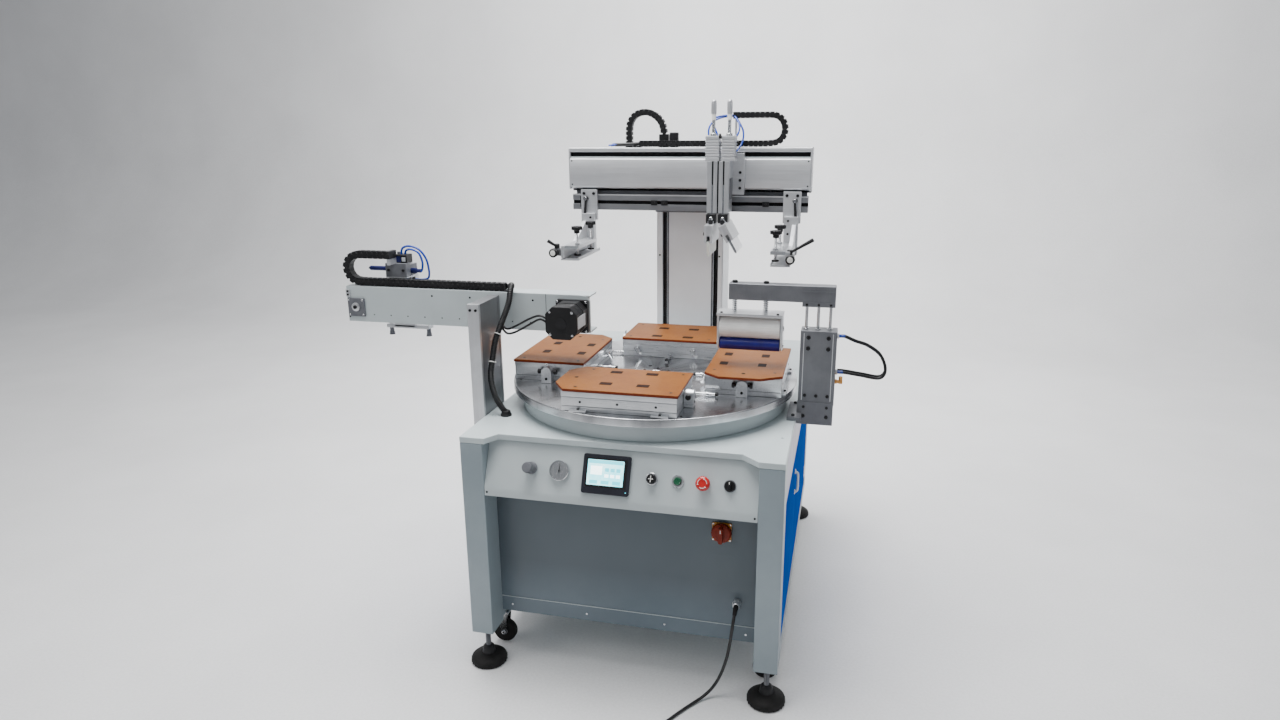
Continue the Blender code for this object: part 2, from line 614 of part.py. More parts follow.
# ---------------------------------------------------------------- screen frame arms
def frame_arm(side_name, centre, inward, nose_u, tip_u, tip_z):
    """Arm that hangs from the beam's T-slot rail and grips one side of the screen."""
    slide = joint(f"frame_arm_slide_{side_name}", (centre, RAIL_FRONT_Y, 1.340), parent=lift)
    slide.matrix_basis = Matrix.Translation((centre, RAIL_FRONT_Y - COL_Y0, 1.340 - BEAM_Z0))
    shift = Matrix.Translation((-centre, -RAIL_FRONT_Y, -1.340))

    def across(a, b):
        xa, xb = centre + inward * a, centre + inward * b
        return (min(xa, xb), max(xa, xb))

    arm = place(
        f"frame_arm_{side_name}",
        box_mesh(*across(-0.030, 0.030), 0.385, RAIL_FRONT_Y - GAP, 1.275, 1.3825), "aluminium",
        slide, shift,
    )
    join(arm, box_mesh(*across(-0.024, 0.024), 0.366, 0.392, 1.170, 1.300))
    gusset = [(0.384, 1.170), (0.384, 1.280), (0.112, 1.218), (0.112, 1.170)]
    join(arm, prism_mesh(gusset, *across(-0.018, -0.004)))
    join(arm, box_mesh(*across(-0.016, 0.044), 0.115, 0.330, 1.206, 1.218))
    join(arm, box_mesh(*across(-0.020, 0.043), 0.115, 0.3715, SHELF_Z, SHELF_Z + 0.006))
    nose = centre + inward * nose_u
    join(arm, rod_mesh((nose, 0.094, 1.194), (nose, 0.150, 1.194), 0.0150, segments=16))
    join(arm, box_mesh(*across(nose_u - 0.008, -0.010), 0.118, 0.146, 1.182, 1.206))
    lever_end = (centre + inward * tip_u, 0.120, tip_z)
    join(arm, rod_mesh((nose, 0.120, 1.202), lever_end, 0.0045, segments=10))
    hook = centre + inward * (-0.010)
    join(arm, rod_mesh((hook, 0.372, 1.352), (hook, 0.390, 1.352), 0.008, segments=12))
    join(arm, rod_mesh((hook, 0.373, 1.352), (hook - inward * 0.004, 0.373, 1.290), 0.0045, segments=10))
    screw_x = centre + inward * 0.030
    for place_name, y in (("rear", 0.300), ("front", 0.145)):
        cut(arm, rod_mesh((screw_x, y, 1.188), (screw_x, y, 1.238), 0.0045, segments=12))
        knob_axis = joint(f"clamp_axis_{place_name}_{side_name}", (screw_x - centre, y - RAIL_FRONT_Y, 1.218 - 1.340), parent=slide)
        knob_profile = [
            (0.0, 0.062), (0.017, 0.062), (0.019, 0.058), (0.019, 0.050), (0.010, 0.046), (0.009, 0.034),
            (0.004, 0.033), (0.004, -0.030), (0.012, -0.032), (0.012, -0.037), (0.0, -0.037),
        ]
        turned(f"clamp_knob_{place_name}_{side_name}", knob_profile, "black_plastic", knob_axis, steps=16)
    return arm


frame_arm("left", ARM_LEFT_X, 1, -0.040, -0.066, 1.232)
frame_arm("right", ARM_RIGHT_X, -1, -0.020, -0.088, 1.256)

# ---------------------------------------------------------------- unloading arm
place(
    "unload_bracket", box_mesh(-HALF_W - 0.038, -HALF_W - GAP, -0.310, UN_Y0 - GAP, 0.600, 1.098), "aluminium",
)
un_beam = place("unload_beam", box_mesh(UN_X0, UN_X1, UN_Y0, UN_Y1, UN_Z0, UN_Z1), "white_enamel")
cut(un_beam, box_mesh(UN_X0 + 0.008, UN_X1 - 0.008, UN_Y0 + 0.006, UN_Y1 + 0.02, UN_Z0 + 0.008, UN_Z1 - 0.008))
join(un_beam, box_mesh(-0.990, -0.930, UN_Y0 - 0.006, UN_Y0 + 0.002, 1.008, 1.068))

motor = place(
    "unload_motor",
    box_mesh(MOTOR_X - 0.051, MOTOR_X + 0.051, -0.171, UN_Y0 - GAP, MOTOR_Z - 0.051, MOTOR_Z + 0.051),
    "black_plastic",
)
half, chamfer = MOTOR_W / 2, 0.022
octagon = [
    (-half, -half + chamfer), (-half + chamfer, -half), (half - chamfer, -half), (half, -half + chamfer),
    (half, half - chamfer), (half - chamfer, half), (-half + chamfer, half), (-half, half - chamfer),
]
body = prism_mesh(octagon, 0.0, 0.102)
body.transform(Matrix.Translation((MOTOR_X, -0.170, MOTOR_Z)) @ Matrix.Rotation(math.radians(-90.0), 4, "Z"))
join(motor, body)

un_slide = joint("unload_slide", (-0.8345, -0.075, UN_Z1))
to_un = Matrix.Translation((0.8345, 0.075, -UN_Z1))
un_car = place(
    "unload_carriage", box_mesh(UNC_X0, UNC_X1, -0.112, -0.034, UN_Z1 + 0.0005, 1.178), "dark_anodised",
    un_slide, to_un,
)
join(un_car, box_mesh(UNC_X0, UNC_X1, UN_Y1 + 0.0010, -0.055, 0.960, 1.130))
join(un_car, box_mesh(-0.902, -0.748, UN_Y1 + 0.0010, -0.050, 0.956, 0.968))
for x in (-0.893, -0.757):
    join(un_car, rod_mesh((x, -0.067, 0.960), (x, -0.067, 0.930), 0.007, 0.010, segments=12))
join(un_car, rod_mesh((-0.945, -0.080, 1.155), (-0.865, -0.080, 1.155), 0.0075, segments=14))
join(un_car, box_mesh(-0.848, -0.800, -0.100, -0.060, 1.175, 1.205))
join(un_car, rod_mesh((-0.800, -0.075, 1.150), (-0.765, -0.075, 1.150), 0.009, segments=12))

# cable chain: lower run on the beam, half-round bend, short upper run
CHAIN_T = 0.025
low = UN_Z1 + 0.0005 + CHAIN_T
high = 1.196
bend_x = -0.948
outer = [(-0.445, UN_Z1 + 0.0005), (-0.445, low)]
mid_z = (low + high) / 2
r_in = (high - low) / 2
for k in range(9):
    a = math.radians(-90.0 - 22.5 * k)
    outer.append((bend_x + r_in * math.cos(a), mid_z + r_in * math.sin(a)))
outer.append((-0.838, high))
outer.append((-0.838, high + CHAIN_T))
for k in range(9):
    a = math.radians(90.0 + 22.5 * k)
    r = r_in + CHAIN_T
    outer.append((bend_x + r * math.cos(a), mid_z + r * math.sin(a)))
chain_frame = Matrix.Translation((0.0, -0.1350, 0.0)) @ Matrix.Rotation(math.radians(90.0), 4, "X")
plate("unload_chain", outer, 0.028, "black_plastic", matrix=chain_frame)

cable_path = [
    (-0.4360, -0.1350, 1.1210), (-0.4280, -0.1380, 1.1240), (-0.4190, -0.1520, 1.1280), (-0.4150, -0.1740, 1.113),
    (-0.4180, -0.1860, 1.078), (-0.4310, -0.206, 1.030), (-0.4460, -0.230, 0.976), (-0.4480, -0.256, 0.925),
    (-0.4470, -0.280, 0.870), (-0.4330, -0.288, 0.815), (-0.4120, -0.290, 0.778), (-0.3960, -0.290, 0.7640),
]
tube("arm_cable", flowing(cable_path, 0.022), 0.0095, "black_rubber", resolution=2)

# ---------------------------------------------------------------- cleaning station
cl_body = place("cleaner_body", box_mesh(CL_X0, CL_X1, CL_Y0, CL_Y1, CL_Z0, CL_Z1), "dark_anodised")
join(cl_body, box_mesh(HALF_W + GAP, CL_X1 - 0.001, CL_Y0 - 0.003, CL_Y0 + 0.012, 0.729, 0.800))
join(cl_body, box_mesh(0.4340, 0.476, -0.150, 0.000, TABLE_Z + GAP, 0.765))
for x in ROD_XS:
    cut(cl_body, rod_mesh((x, -0.070, 0.880), (x, -0.070, 1.10), ROD_R + 0.0005, segments=14))

cl_lift = joint("cleaner_lift", (0.510, -0.070, CL_Z1))
to_cl = Matrix.Translation((-0.510, 0.070, -CL_Z1))
cl_arm = place(
    "cleaner_arm", box_mesh(0.246, 0.558, -0.090, -0.050, 1.099, 1.149), "dark_anodised", cl_lift, to_cl,
)
join(cl_arm, box_mesh(0.463, 0.558, -0.092, -0.048, 1.087, 1.102))
for x in ROD_XS:
    join(cl_arm, rod_mesh((x, -0.070, 0.935), (x, -0.070, 1.092), ROD_R, segments=14))
join(cl_arm, box_mesh(YOKE_X0, YOKE_X1, -0.104, -0.030, 1.0515, 1.0600))
for x in (0.262, 0.355):
    join(cl_arm, rod_mesh((x, -0.070, 1.055), (x, -0.070, 1.156), 0.006, segments=12))
for x0, x1 in ((YOKE_X0, YOKE_X0 + 0.006), (YOKE_X1 - 0.006, YOKE_X1)):
    join(cl_arm, box_mesh(x0, x1, -0.092, -0.040, 0.9480, 1.0530))
for y, z in ((WHITE_Y, WHITE_Z), (BLUE_Y, BLUE_Z)):
    join(cl_arm, rod_mesh((YOKE_X0 + 0.002, y, z), (YOKE_X1 - 0.002, y, z), AXLE_R, segments=12))
for name, radius, y, z, look in (
    ("white_roller", WHITE_R, WHITE_Y, WHITE_Z, "roller_white"),
    ("blue_roller", BLUE_R, BLUE_Y, BLUE_Z, "roller_blue"),
):
    spin = joint(f"{name}_axis", (0.3105 - 0.510, y + 0.070, z - CL_Z1), (0.0, math.radians(90.0), 0.0), cl_lift)
    reach = 0.0905
    profile = [
        (radius - 0.001, reach), (radius, reach - 0.001), (radius, -reach + 0.001), (radius - 0.001, -reach),
        (AXLE_R + 0.0005, -reach), (AXLE_R + 0.0005, reach),
    ]
    turned(name, profile, look, spin, steps=28)

hose_path = [
    (0.5688, -0.070, 0.8890), (0.590, -0.070, 0.8890), (0.640, -0.070, 0.883), (0.690, -0.070, 0.877),
    (0.7080, -0.070, 0.890), (0.7080, -0.070, 0.918), (0.690, -0.070, 0.953), (0.655, -0.070, 0.977),
    (0.620, -0.070, 0.988), (0.590, -0.070, 1.0000), (0.5688, -0.070, 1.0000),
]
tube("cleaner_hose", flowing(hose_path, 0.012), 0.0050, "black_rubber", resolution=2)

# ---------------------------------------------------------------- operator controls
hmi = place(
    "touch_screen", box_mesh(-0.0685, 0.0685, -0.055, 0.055, GAP, 0.008), "black_plastic",
    matrix=panel_frame(-0.0322, 0.0655),
)
bevel(hmi, 0.002)

needle_axis = joint("gauge_axis", (0.0, 0.0, 0.0))
needle_axis.matrix_basis = panel_frame(GAUGE_X)
needle = place(
    "gauge_needle", box_mesh(-0.0012, 0.0012, -0.006, 0.020, 0.0068, 0.0078), "black_plastic", needle_axis,
)
join(needle, rod_mesh((0.0, 0.0, 0.0066), (0.0, 0.0, 0.0088), 0.0030, segments=10))


def control(name, x, profile, look, steps=20):
    axis = joint(f"{name}_axis", (0.0, 0.0, 0.0))
    axis.matrix_basis = panel_frame(x)
    return turned(name, profile, look, axis, steps=steps), axis


control(
    "regulator_knob", -0.2527,
    [(0.0, 0.046), (0.012, 0.046), (0.0135, 0.044), (0.0135, 0.016), (0.017, 0.015), (0.017, GAP), (0.0, GAP)],
    "grey_plastic",
)
speed, _ = control(
    "speed_knob", 0.0973,
    [(0.0, 0.019), (0.011, 0.019), (0.012, 0.018), (0.013, 0.006), (0.0165, 0.005), (0.0165, GAP), (0.0, GAP)],
    "black_plastic",
)
control(
    "start_button", 0.170,
    [(0.0, 0.011), (0.010, 0.011), (0.011, 0.010), (0.011, 0.0045), (0.006, 0.0045), (0.006, -0.012), (0.0, -0.012)],
    "green_plastic",
)
control(
    "emergency_stop", 0.242,
    [(0.0, 0.034), (0.010, 0.033), (0.018, 0.029), (0.020, 0.024), (0.018, 0.020), (0.012, 0.017), (0.011, 0.0075),
     (0.006, 0.0070), (0.006, -0.014), (0.0, -0.014)],
    "red_plastic",
)
selector, selector_axis = control(
    "mode_selector", 0.3127,
    [(0.0, 0.007), (0.0125, 0.007), (0.0145, 0.005), (0.0145, GAP), (0.0, GAP)], "black_plastic",
)
join(selector, box_mesh(-0.0035, 0.0035, -0.0115, 0.0115, 0.004, 0.020))

isolator_axis = joint("isolator_axis", (ISOLATOR[0], face_y - 0.004, ISOLATOR[1]), (math.radians(90.0), 0.0, 0.0))
isolator = turned(
    "main_isolator",
    [(0.0, 0.014), (0.020, 0.014), (0.024, 0.010), (0.024, GAP), (0.0, GAP)], "red_plastic", isolator_axis, steps=20,
)
join(isolator, box_mesh(-0.006, 0.006, -0.021, 0.021, 0.010, 0.030))

# ---------------------------------------------------------------- power cord
cord_path = [
    (GLAND[0], face_y - 0.0070, GLAND[1]), (0.3330, -0.4300, 0.2826), (0.3328, -0.4460, 0.2780),
    (0.3318, -0.4600, 0.2670), (0.3300, -0.4700, 0.2500), (0.3280, -0.4745, 0.2300), (0.3240, -0.4750, 0.1950),
    (0.3180, -0.4725, 0.1550), (0.3090, -0.4690, 0.1150), (0.2970, -0.4660, 0.0770), (0.2830, -0.4670, 0.0460),
    (0.2670, -0.4740, 0.0240), (0.2480, -0.4890, 0.0105), (0.2260, -0.5160, 0.0060), (0.2020, -0.5510, 0.0054),
    (0.1760, -0.5940, 0.0054), (0.1400, -0.6540, 0.0054), (0.1200, -0.7000, 0.0054),
]
tube("power_cord", flowing(cord_path, 0.020), CORD_R, "black_rubber", resolution=2)

coil_frame = Matrix.Translation((COIL_C[0], COIL_C[1], 0.0))
coil_w, coil_h = 0.0135, 0.0270
turned(
    "cord_coil",
    [(COIL_R - coil_w, coil_h), (COIL_R + coil_w, coil_h), (COIL_R + coil_w, GAP), (COIL_R - coil_w, GAP)],
    "black_rubber", matrix=coil_frame, steps=32,
)
plug_x, plug_y = COIL_C[0] - 0.1305, COIL_C[1] - 0.020
plug = place(
    "power_plug", box_mesh(plug_x - 0.019, plug_x + 0.019, plug_y - 0.030, plug_y + 0.020, GAP, 0.034),
    "black_plastic",
)
for x, z in ((-0.010, 0.012), (0.010, 0.012), (0.0, 0.025)):
    join(plug, rod_mesh((plug_x + x, plug_y - 0.029, z), (plug_x + x, plug_y - 0.048, z), 0.0024, segments=8))
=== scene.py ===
"""Looks of the screen printing carousel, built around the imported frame.

Working frame of the numbers below: turntable axis at the origin, floor at Z = 0,
+X right, +Y back, metres. SHIFT moves every piece into the row's frame.
"""

import math

import bmesh
import bpy
from mathutils import Matrix, Vector


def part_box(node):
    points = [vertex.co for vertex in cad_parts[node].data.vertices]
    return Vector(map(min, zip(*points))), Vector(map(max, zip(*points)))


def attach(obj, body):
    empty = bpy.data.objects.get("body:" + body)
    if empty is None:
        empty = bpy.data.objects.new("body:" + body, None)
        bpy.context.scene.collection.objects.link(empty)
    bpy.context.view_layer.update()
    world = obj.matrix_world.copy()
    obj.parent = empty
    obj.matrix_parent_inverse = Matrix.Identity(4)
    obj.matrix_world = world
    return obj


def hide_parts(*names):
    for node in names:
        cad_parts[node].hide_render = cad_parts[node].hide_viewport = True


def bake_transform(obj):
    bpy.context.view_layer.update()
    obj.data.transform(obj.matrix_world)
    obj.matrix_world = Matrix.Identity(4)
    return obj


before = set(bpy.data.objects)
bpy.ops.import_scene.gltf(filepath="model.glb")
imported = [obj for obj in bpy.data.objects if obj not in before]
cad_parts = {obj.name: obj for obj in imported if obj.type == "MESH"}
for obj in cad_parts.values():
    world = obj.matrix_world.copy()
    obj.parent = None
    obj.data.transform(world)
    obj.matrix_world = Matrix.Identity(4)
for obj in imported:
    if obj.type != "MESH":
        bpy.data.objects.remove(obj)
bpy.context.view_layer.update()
SHIFT = Matrix.Translation((0.1448, -0.1706, 0.0))
IDENTITY = Matrix.Identity(4)
FRONT, UP, BACK = (0, -1, 0), (0, 0, 1), (0, 1, 0)
RIGHTWARD, LEFTWARD = (1, 0, 0), (-1, 0, 0)

# ---------------------------------------------------------------- camera
camera_data = bpy.data.cameras.new("camera")
camera = bpy.data.objects.new("camera", camera_data)
bpy.context.scene.collection.objects.link(camera)
bpy.context.scene.camera = camera
camera_data.sensor_width = 36.0
camera_data.lens = 23.727
yaw, pitch, roll = 0.2443, 0.2706, -0.0076
ahead = Vector((-math.sin(yaw) * math.cos(pitch), math.cos(yaw) * math.cos(pitch), -math.sin(pitch)))
right = Vector((math.cos(yaw), math.sin(yaw), 0.0))
above = right.cross(ahead)
right_r = right * math.cos(roll) + above * math.sin(roll)
above_r = above * math.cos(roll) - right * math.sin(roll)
aim = Matrix((right_r, above_r, -ahead)).transposed().to_4x4()
aim.translation = Vector((0.7314, -2.7234, 1.6001))
camera.matrix_world = aim


# ---------------------------------------------------------------- materials
def new_material(name):
    mat = bpy.data.materials.new(name)
    mat.use_nodes = True
    return mat, mat.node_tree, mat.node_tree.nodes["Principled BSDF"]


def add(tree, kind, inputs=(), **settings):
    node = tree.nodes.new("ShaderNode" + kind)
    for key, value in settings.items():
        setattr(node, key, value)
    for key, value in dict(inputs).items():
        if isinstance(value, bpy.types.NodeSocket):
            tree.links.new(value, node.inputs[key])
        else:
            node.inputs[key].default_value = value
    return node


def noise(tree, at, scale, detail=4.0, rough=0.55):
    made = add(tree, "TexNoise", {"Vector": at, "Scale": scale, "Detail": detail, "Roughness": rough})
    return made.outputs[0]


def ramp(tree, value, lo, hi, a, b):
    made = add(tree, "MapRange", {"Value": value, "From Min": lo, "From Max": hi, "To Min": a, "To Max": b})
    return made.outputs[0]


def blend_colour(tree, factor, a, b, mode="MIX"):
    node = tree.nodes.new("ShaderNodeMix")
    node.data_type = "RGBA"
    node.blend_type = mode
    for socket, value in ((node.inputs[0], factor), (node.inputs[6], a), (node.inputs[7], b)):
        if isinstance(value, bpy.types.NodeSocket):
            tree.links.new(value, socket)
        elif isinstance(value, (int, float)):
            socket.default_value = value
        else:
            socket.default_value = (*value, 1.0)
    return node.outputs[2]


def object_coords(tree, stretch=(1.0, 1.0, 1.0)):
    coords = tree.nodes.new("ShaderNodeTexCoord")
    plain = coords.outputs["Object"]
    mapped = add(tree, "Mapping", {"Vector": plain, "Scale": stretch}).outputs[0]
    return plain, mapped


def finish_material(tree, shader, colour, rough, bumps, sockets):
    tree.links.new(colour, shader.inputs["Base Color"])
    if isinstance(rough, bpy.types.NodeSocket):
        tree.links.new(rough, shader.inputs["Roughness"])
    else:
        shader.inputs["Roughness"].default_value = rough
    normal = None
    for height, strength, distance in bumps:
        bump = add(tree, "Bump", {"Height": height, "Strength": strength, "Distance": distance})
        if normal is not None:
            tree.links.new(normal, bump.inputs["Normal"])
        normal = bump.outputs["Normal"]
    if normal is not None:
        tree.links.new(normal, shader.inputs["Normal"])
    for key, value in sockets.items():
        shader.inputs[key].default_value = value


def surface(name, base, alt, rough=(0.35, 0.5), tone=7.0, grain=600.0, stretch=(1.0, 1.0, 1.0),
            bump=0.2, depth=0.0003, wave=None, sockets=()):
    """Two slowly mixing tones, a fine grain that may be stretched, and an optional slow wave."""
    mat, tree, shader = new_material(name)
    plain, mapped = object_coords(tree, stretch)
    wide = noise(tree, plain, tone, 5.0, 0.6)
    fine = noise(tree, mapped, grain, 4.0, 0.6)
    colour = blend_colour(tree, ramp(tree, wide, 0.36, 0.64, 0.0, 1.0), base, alt)
    shade = ramp(tree, fine, 0.3, 0.7, 0.9, 1.0)
    colour = blend_colour(tree, 1.0, colour, add(tree, "CombineXYZ",
        {"X": shade, "Y": shade, "Z": shade}).outputs[0], "MULTIPLY")
    roughness = ramp(tree, fine, 0.3, 0.7, rough[0], rough[1])
    bumps = [(fine, bump, depth)]
    if wave:
        bumps.append((noise(tree, plain, wave[0], 2.0, 0.5), wave[1], wave[2]))
    finish_material(tree, shader, colour, roughness, bumps, dict(sockets))
    return mat


def enamel(name, base, alt, low_dirt=True, painted_overhang_shade=None, gloss=0.4):
    """Sprayed enamel: orange peel, faint clouding, rubbed patches and dust towards the floor.

    The optional height span for painted shade is (from height, to height, share of the tone left above):
    above it the colour is darkened, standing in for the shadow of an overhang.
    """
    mat, tree, shader = new_material(name)
    plain, mapped = object_coords(tree, (1.0, 1.0, 0.25))
    wide = noise(tree, plain, 5.0, 6.0, 0.62)
    streak = noise(tree, mapped, 22.0, 5.0, 0.6)
    peel = noise(tree, plain, 420.0, 2.0, 0.4)
    colour = blend_colour(tree, ramp(tree, wide, 0.35, 0.65, 0.0, 1.0), base, alt)
    dirty = [c * 0.82 for c in base]
    colour = blend_colour(tree, ramp(tree, streak, 0.6, 0.85, 0.0, 0.12), colour, dirty)
    if low_dirt:
        height = add(tree, "SeparateXYZ", {"Vector": plain}).outputs[2]
        low = ramp(tree, height, 0.1, 0.3, 0.45, 0.0)
        low = add(tree, "Math", {0: low, 1: wide}, operation="MULTIPLY").outputs[0]
        colour = blend_colour(tree, low, colour, [c * 0.55 for c in base])
    # painted shade: the colour darkens above a height, standing in for an overhang's shadow
    if painted_overhang_shade:
        height = add(tree, "SeparateXYZ", {"Vector": plain}).outputs[2]
        colour = blend_colour(tree, ramp(tree, height, painted_overhang_shade[0], painted_overhang_shade[1], 0.0, 1.0), colour,
            [c * painted_overhang_shade[2] for c in base])
    rough = ramp(tree, streak, 0.35, 0.7, 0.3, 0.44)
    sockets = {"Coat Weight": gloss * 0.25, "Coat Roughness": 0.25, "Specular IOR Level": gloss}
    finish_material(tree, shader, colour, rough, [(peel, 0.1, 0.0002), (wide, 0.08, 0.0015)], sockets)
    return mat


def turned_metal(name, base, alt, centre, rough=(0.22, 0.38)):
    """Faced on a lathe: fine rings round the centre, and painted highlights, bright and dark streaks in the
    colour that spread out from it like rays.
    """
    mat, tree, shader = new_material(name)
    plain, _ = object_coords(tree)
    off = add(tree, "VectorMath", {0: plain, 1: centre}, operation="SUBTRACT").outputs[0]
    flat = add(tree, "VectorMath", {0: off, 1: (1.0, 1.0, 0.0)}, operation="MULTIPLY").outputs[0]
    radius = add(tree, "VectorMath", {0: flat}, operation="LENGTH").outputs["Value"]
    height = add(tree, "SeparateXYZ", {"Vector": off}).outputs[2]
    rings_at = add(tree, "CombineXYZ", {"X": radius, "Y": height}).outputs[0]
    rings = noise(tree, rings_at, 900.0, 3.0, 0.7)
    bands = noise(tree, rings_at, 60.0, 3.0, 0.6)
    wide = noise(tree, plain, 9.0, 5.0, 0.6)
    colour = blend_colour(tree, ramp(tree, wide, 0.35, 0.65, 0.0, 1.0), base, alt)
    # painted highlights: bright and dark streaks in the colour that spread out from the centre, standing in
    # for reflections
    ray = add(tree, "VectorMath", {0: flat}, operation="NORMALIZE").outputs[0]
    painted_ray_sheen = noise(tree, ray, 3.2, 3.0, 0.55)
    shade = add(tree, "Math", {0: ramp(tree, bands, 0.3, 0.7, 0.86, 1.0),
        1: ramp(tree, painted_ray_sheen, 0.38, 0.6, 0.5, 1.0)}, operation="MULTIPLY").outputs[0]
    colour = blend_colour(tree, 1.0, colour, add(tree, "CombineXYZ",
        {"X": shade, "Y": shade, "Z": shade}).outputs[0], "MULTIPLY")
    finish_material(tree, shader, colour, ramp(tree, rings, 0.3, 0.7, *rough), [(rings, 0.25, 0.0002)],
                    {"Metallic": 1.0, "Anisotropic": 0.75})
    tangent = add(tree, "Tangent", direction_type="RADIAL", axis="Z").outputs[0]
    tree.links.new(tangent, shader.inputs["Tangent"])
    return mat


def laminate(name):
    """Orange-brown phenolic sheet: fibrous face, darker sawn edges in thin layers."""
    mat, tree, shader = new_material(name)
    plain, mapped = object_coords(tree, (1.0, 6.0, 6.0))
    fibre = noise(tree, mapped, 55.0, 8.0, 0.7)
    cloud = noise(tree, plain, 14.0, 5.0, 0.6)
    speck = noise(tree, plain, 900.0, 2.0, 0.5)
    face = blend_colour(tree, ramp(tree, fibre, 0.3, 0.7, 0.0, 1.0), (0.175, 0.055, 0.008),
        (0.245, 0.09, 0.015))
    face = blend_colour(tree, ramp(tree, cloud, 0.45, 0.75, 0.0, 0.55), face, (0.14, 0.036, 0.006))
    layers_at = add(tree, "Mapping", {"Vector": plain, "Scale": (0.05, 0.05, 1.0)}).outputs[0]
    layers = noise(tree, layers_at, 1800.0, 2.0, 0.5)
    edge = blend_colour(tree, ramp(tree, layers, 0.35, 0.65, 0.0, 1.0), (0.12, 0.018, 0.006),
        (0.2, 0.04, 0.012))
    facing = add(tree, "SeparateXYZ", {"Vector": add(tree, "NewGeometry").outputs["Normal"]}).outputs[2]
    upward = ramp(tree, facing, 0.55, 0.8, 0.0, 1.0)
    colour = blend_colour(tree, upward, edge, face)
    finish_material(tree, shader, colour, ramp(tree, speck, 0.3, 0.7, 0.36, 0.52),
        [(speck, 0.15, 0.0002), (fibre, 0.12, 0.0003)],
        {"Coat Weight": 0.0, "Coat Roughness": 0.35, "Specular IOR Level": 0.16})
    return mat


WHITE = enamel("white_enamel", (0.5, 0.56, 0.57), (0.44, 0.5, 0.515))
# a darker copy of the white enamel: painted shade for the side frames' faces
FRAME_PAINTED_SHADE = enamel("frame_enamel_painted_shade", (0.255, 0.305, 0.332), (0.222, 0.27, 0.296))
PANEL = enamel("panel_enamel", (0.49, 0.54, 0.55), (0.44, 0.49, 0.5), low_dirt=False)
# a lighter copy of the white enamel: painted light on the column, whose face lies in the beam's shadow
COLUMN_PAINTED_LIGHT = enamel("column_enamel_painted_light", (0.92, 0.93, 0.95), (0.86, 0.87, 0.89), low_dirt=False, gloss=0.2)
# blue-grey enamel, darkened further with painted shade for the recessed face under the overhang, and darker
# still towards the top
SLATE_PAINTED_SHADE = enamel("slate_enamel_painted_shade", (0.112, 0.148, 0.176), (0.094, 0.126, 0.152), low_dirt=False,
    painted_overhang_shade=(0.22, 0.34, 0.6))
# a lavender-grey copy of the white enamel: painted shade on the right upper side rail
RAIL_PAINTED_SHADE = enamel("side_rail_painted_shade", (0.3, 0.28, 0.4), (0.25, 0.235, 0.34), low_dirt=False)
BLUE = enamel("blue_enamel", (0.004, 0.09, 0.42), (0.003, 0.068, 0.35), low_dirt=False, gloss=0.0)
# the turned disc's colour carries painted highlight streaks
DISC = turned_metal("turned_aluminium", (0.72, 0.735, 0.76), (0.58, 0.595, 0.62), (0.1448, -0.1706, 0.83),
    (0.16, 0.3))
metal = {"Metallic": 1.0}
MILLED_X = surface("milled_aluminium_x", (0.78, 0.79, 0.81), (0.67, 0.69, 0.71), (0.24, 0.42), 18.0, 500.0,
    (0.03, 1, 1), 0.3, 0.0003, sockets={"Metallic": 1.0, "Anisotropic": 0.4})
MILLED_Y = surface("milled_aluminium_y", (0.78, 0.79, 0.81), (0.67, 0.69, 0.71), (0.24, 0.42), 18.0, 500.0,
    (1, 0.03, 1), 0.3, 0.0003, sockets={"Metallic": 1.0, "Anisotropic": 0.4})
EXTRUDED = surface("extruded_aluminium", (0.76, 0.77, 0.79), (0.66, 0.67, 0.69), (0.3, 0.46), 10.0, 700.0,
    (1, 1, 0.02), 0.15, 0.0002, sockets={"Metallic": 0.9, "Anisotropic": 0.3})
FASCIA = surface("satin_aluminium", (0.72, 0.73, 0.75), (0.6, 0.61, 0.63), (0.34, 0.5), 3.0, 260.0,
    (0.02, 1, 1), 0.1, 0.0002, sockets={"Metallic": 0.75, "Anisotropic": 0.35})
RAIL = surface("rail_aluminium", (0.34, 0.345, 0.36), (0.27, 0.275, 0.29), (0.32, 0.48), 6.0, 400.0,
    (0.02, 1, 1), 0.15, 0.0002, sockets={"Metallic": 0.9})
GUNMETAL = surface("gunmetal", (0.2, 0.205, 0.22), (0.155, 0.16, 0.175), (0.36, 0.52), 12.0, 600.0,
    (1, 1, 0.04), 0.2, 0.0002, sockets={"Metallic": 0.7})
STEEL = surface("ground_steel", (0.7, 0.71, 0.72), (0.6, 0.61, 0.63), (0.12, 0.24), 30.0, 900.0,
    (1, 1, 0.05), 0.1, 0.0001, sockets=metal)
CHROME = surface("chrome", (0.86, 0.87, 0.88), (0.8, 0.81, 0.83), (0.05, 0.12), 20.0, 900.0, (1, 1, 1), 0.05,
    0.0001, sockets=metal)
BRASS = surface("brass", (0.78, 0.42, 0.16), (0.62, 0.3, 0.1), (0.25, 0.4), 40.0, 900.0, (1, 1, 1), 0.1,
    0.0001, sockets=metal)
BLACKENED = surface("blackened_steel", (0.01, 0.01, 0.011), (0.018, 0.018, 0.02), (0.32, 0.46), 60.0, 900.0,
    (1, 1, 1), 0.1, 0.0001, sockets={"Metallic": 0.2, "Specular IOR Level": 0.35})
PLASTIC = surface("black_plastic", (0.006, 0.006, 0.007), (0.01, 0.01, 0.011), (0.36, 0.5), 12.0, 800.0,
    (1, 1, 1), 0.2, 0.0002, sockets={"Specular IOR Level": 0.3})
RUBBER = surface("black_rubber", (0.006, 0.006, 0.006), (0.014, 0.013, 0.013), (0.55, 0.75), 25.0, 500.0,
    (1, 1, 1), 0.35, 0.0004, sockets={"Specular IOR Level": 0.25})
SLEEVE = surface("cable_sleeve", (0.005, 0.005, 0.006), (0.01, 0.01, 0.011), (0.3, 0.44), 20.0, 900.0,
    (1, 1, 1), 0.15, 0.0002, sockets={"Specular IOR Level": 0.35})
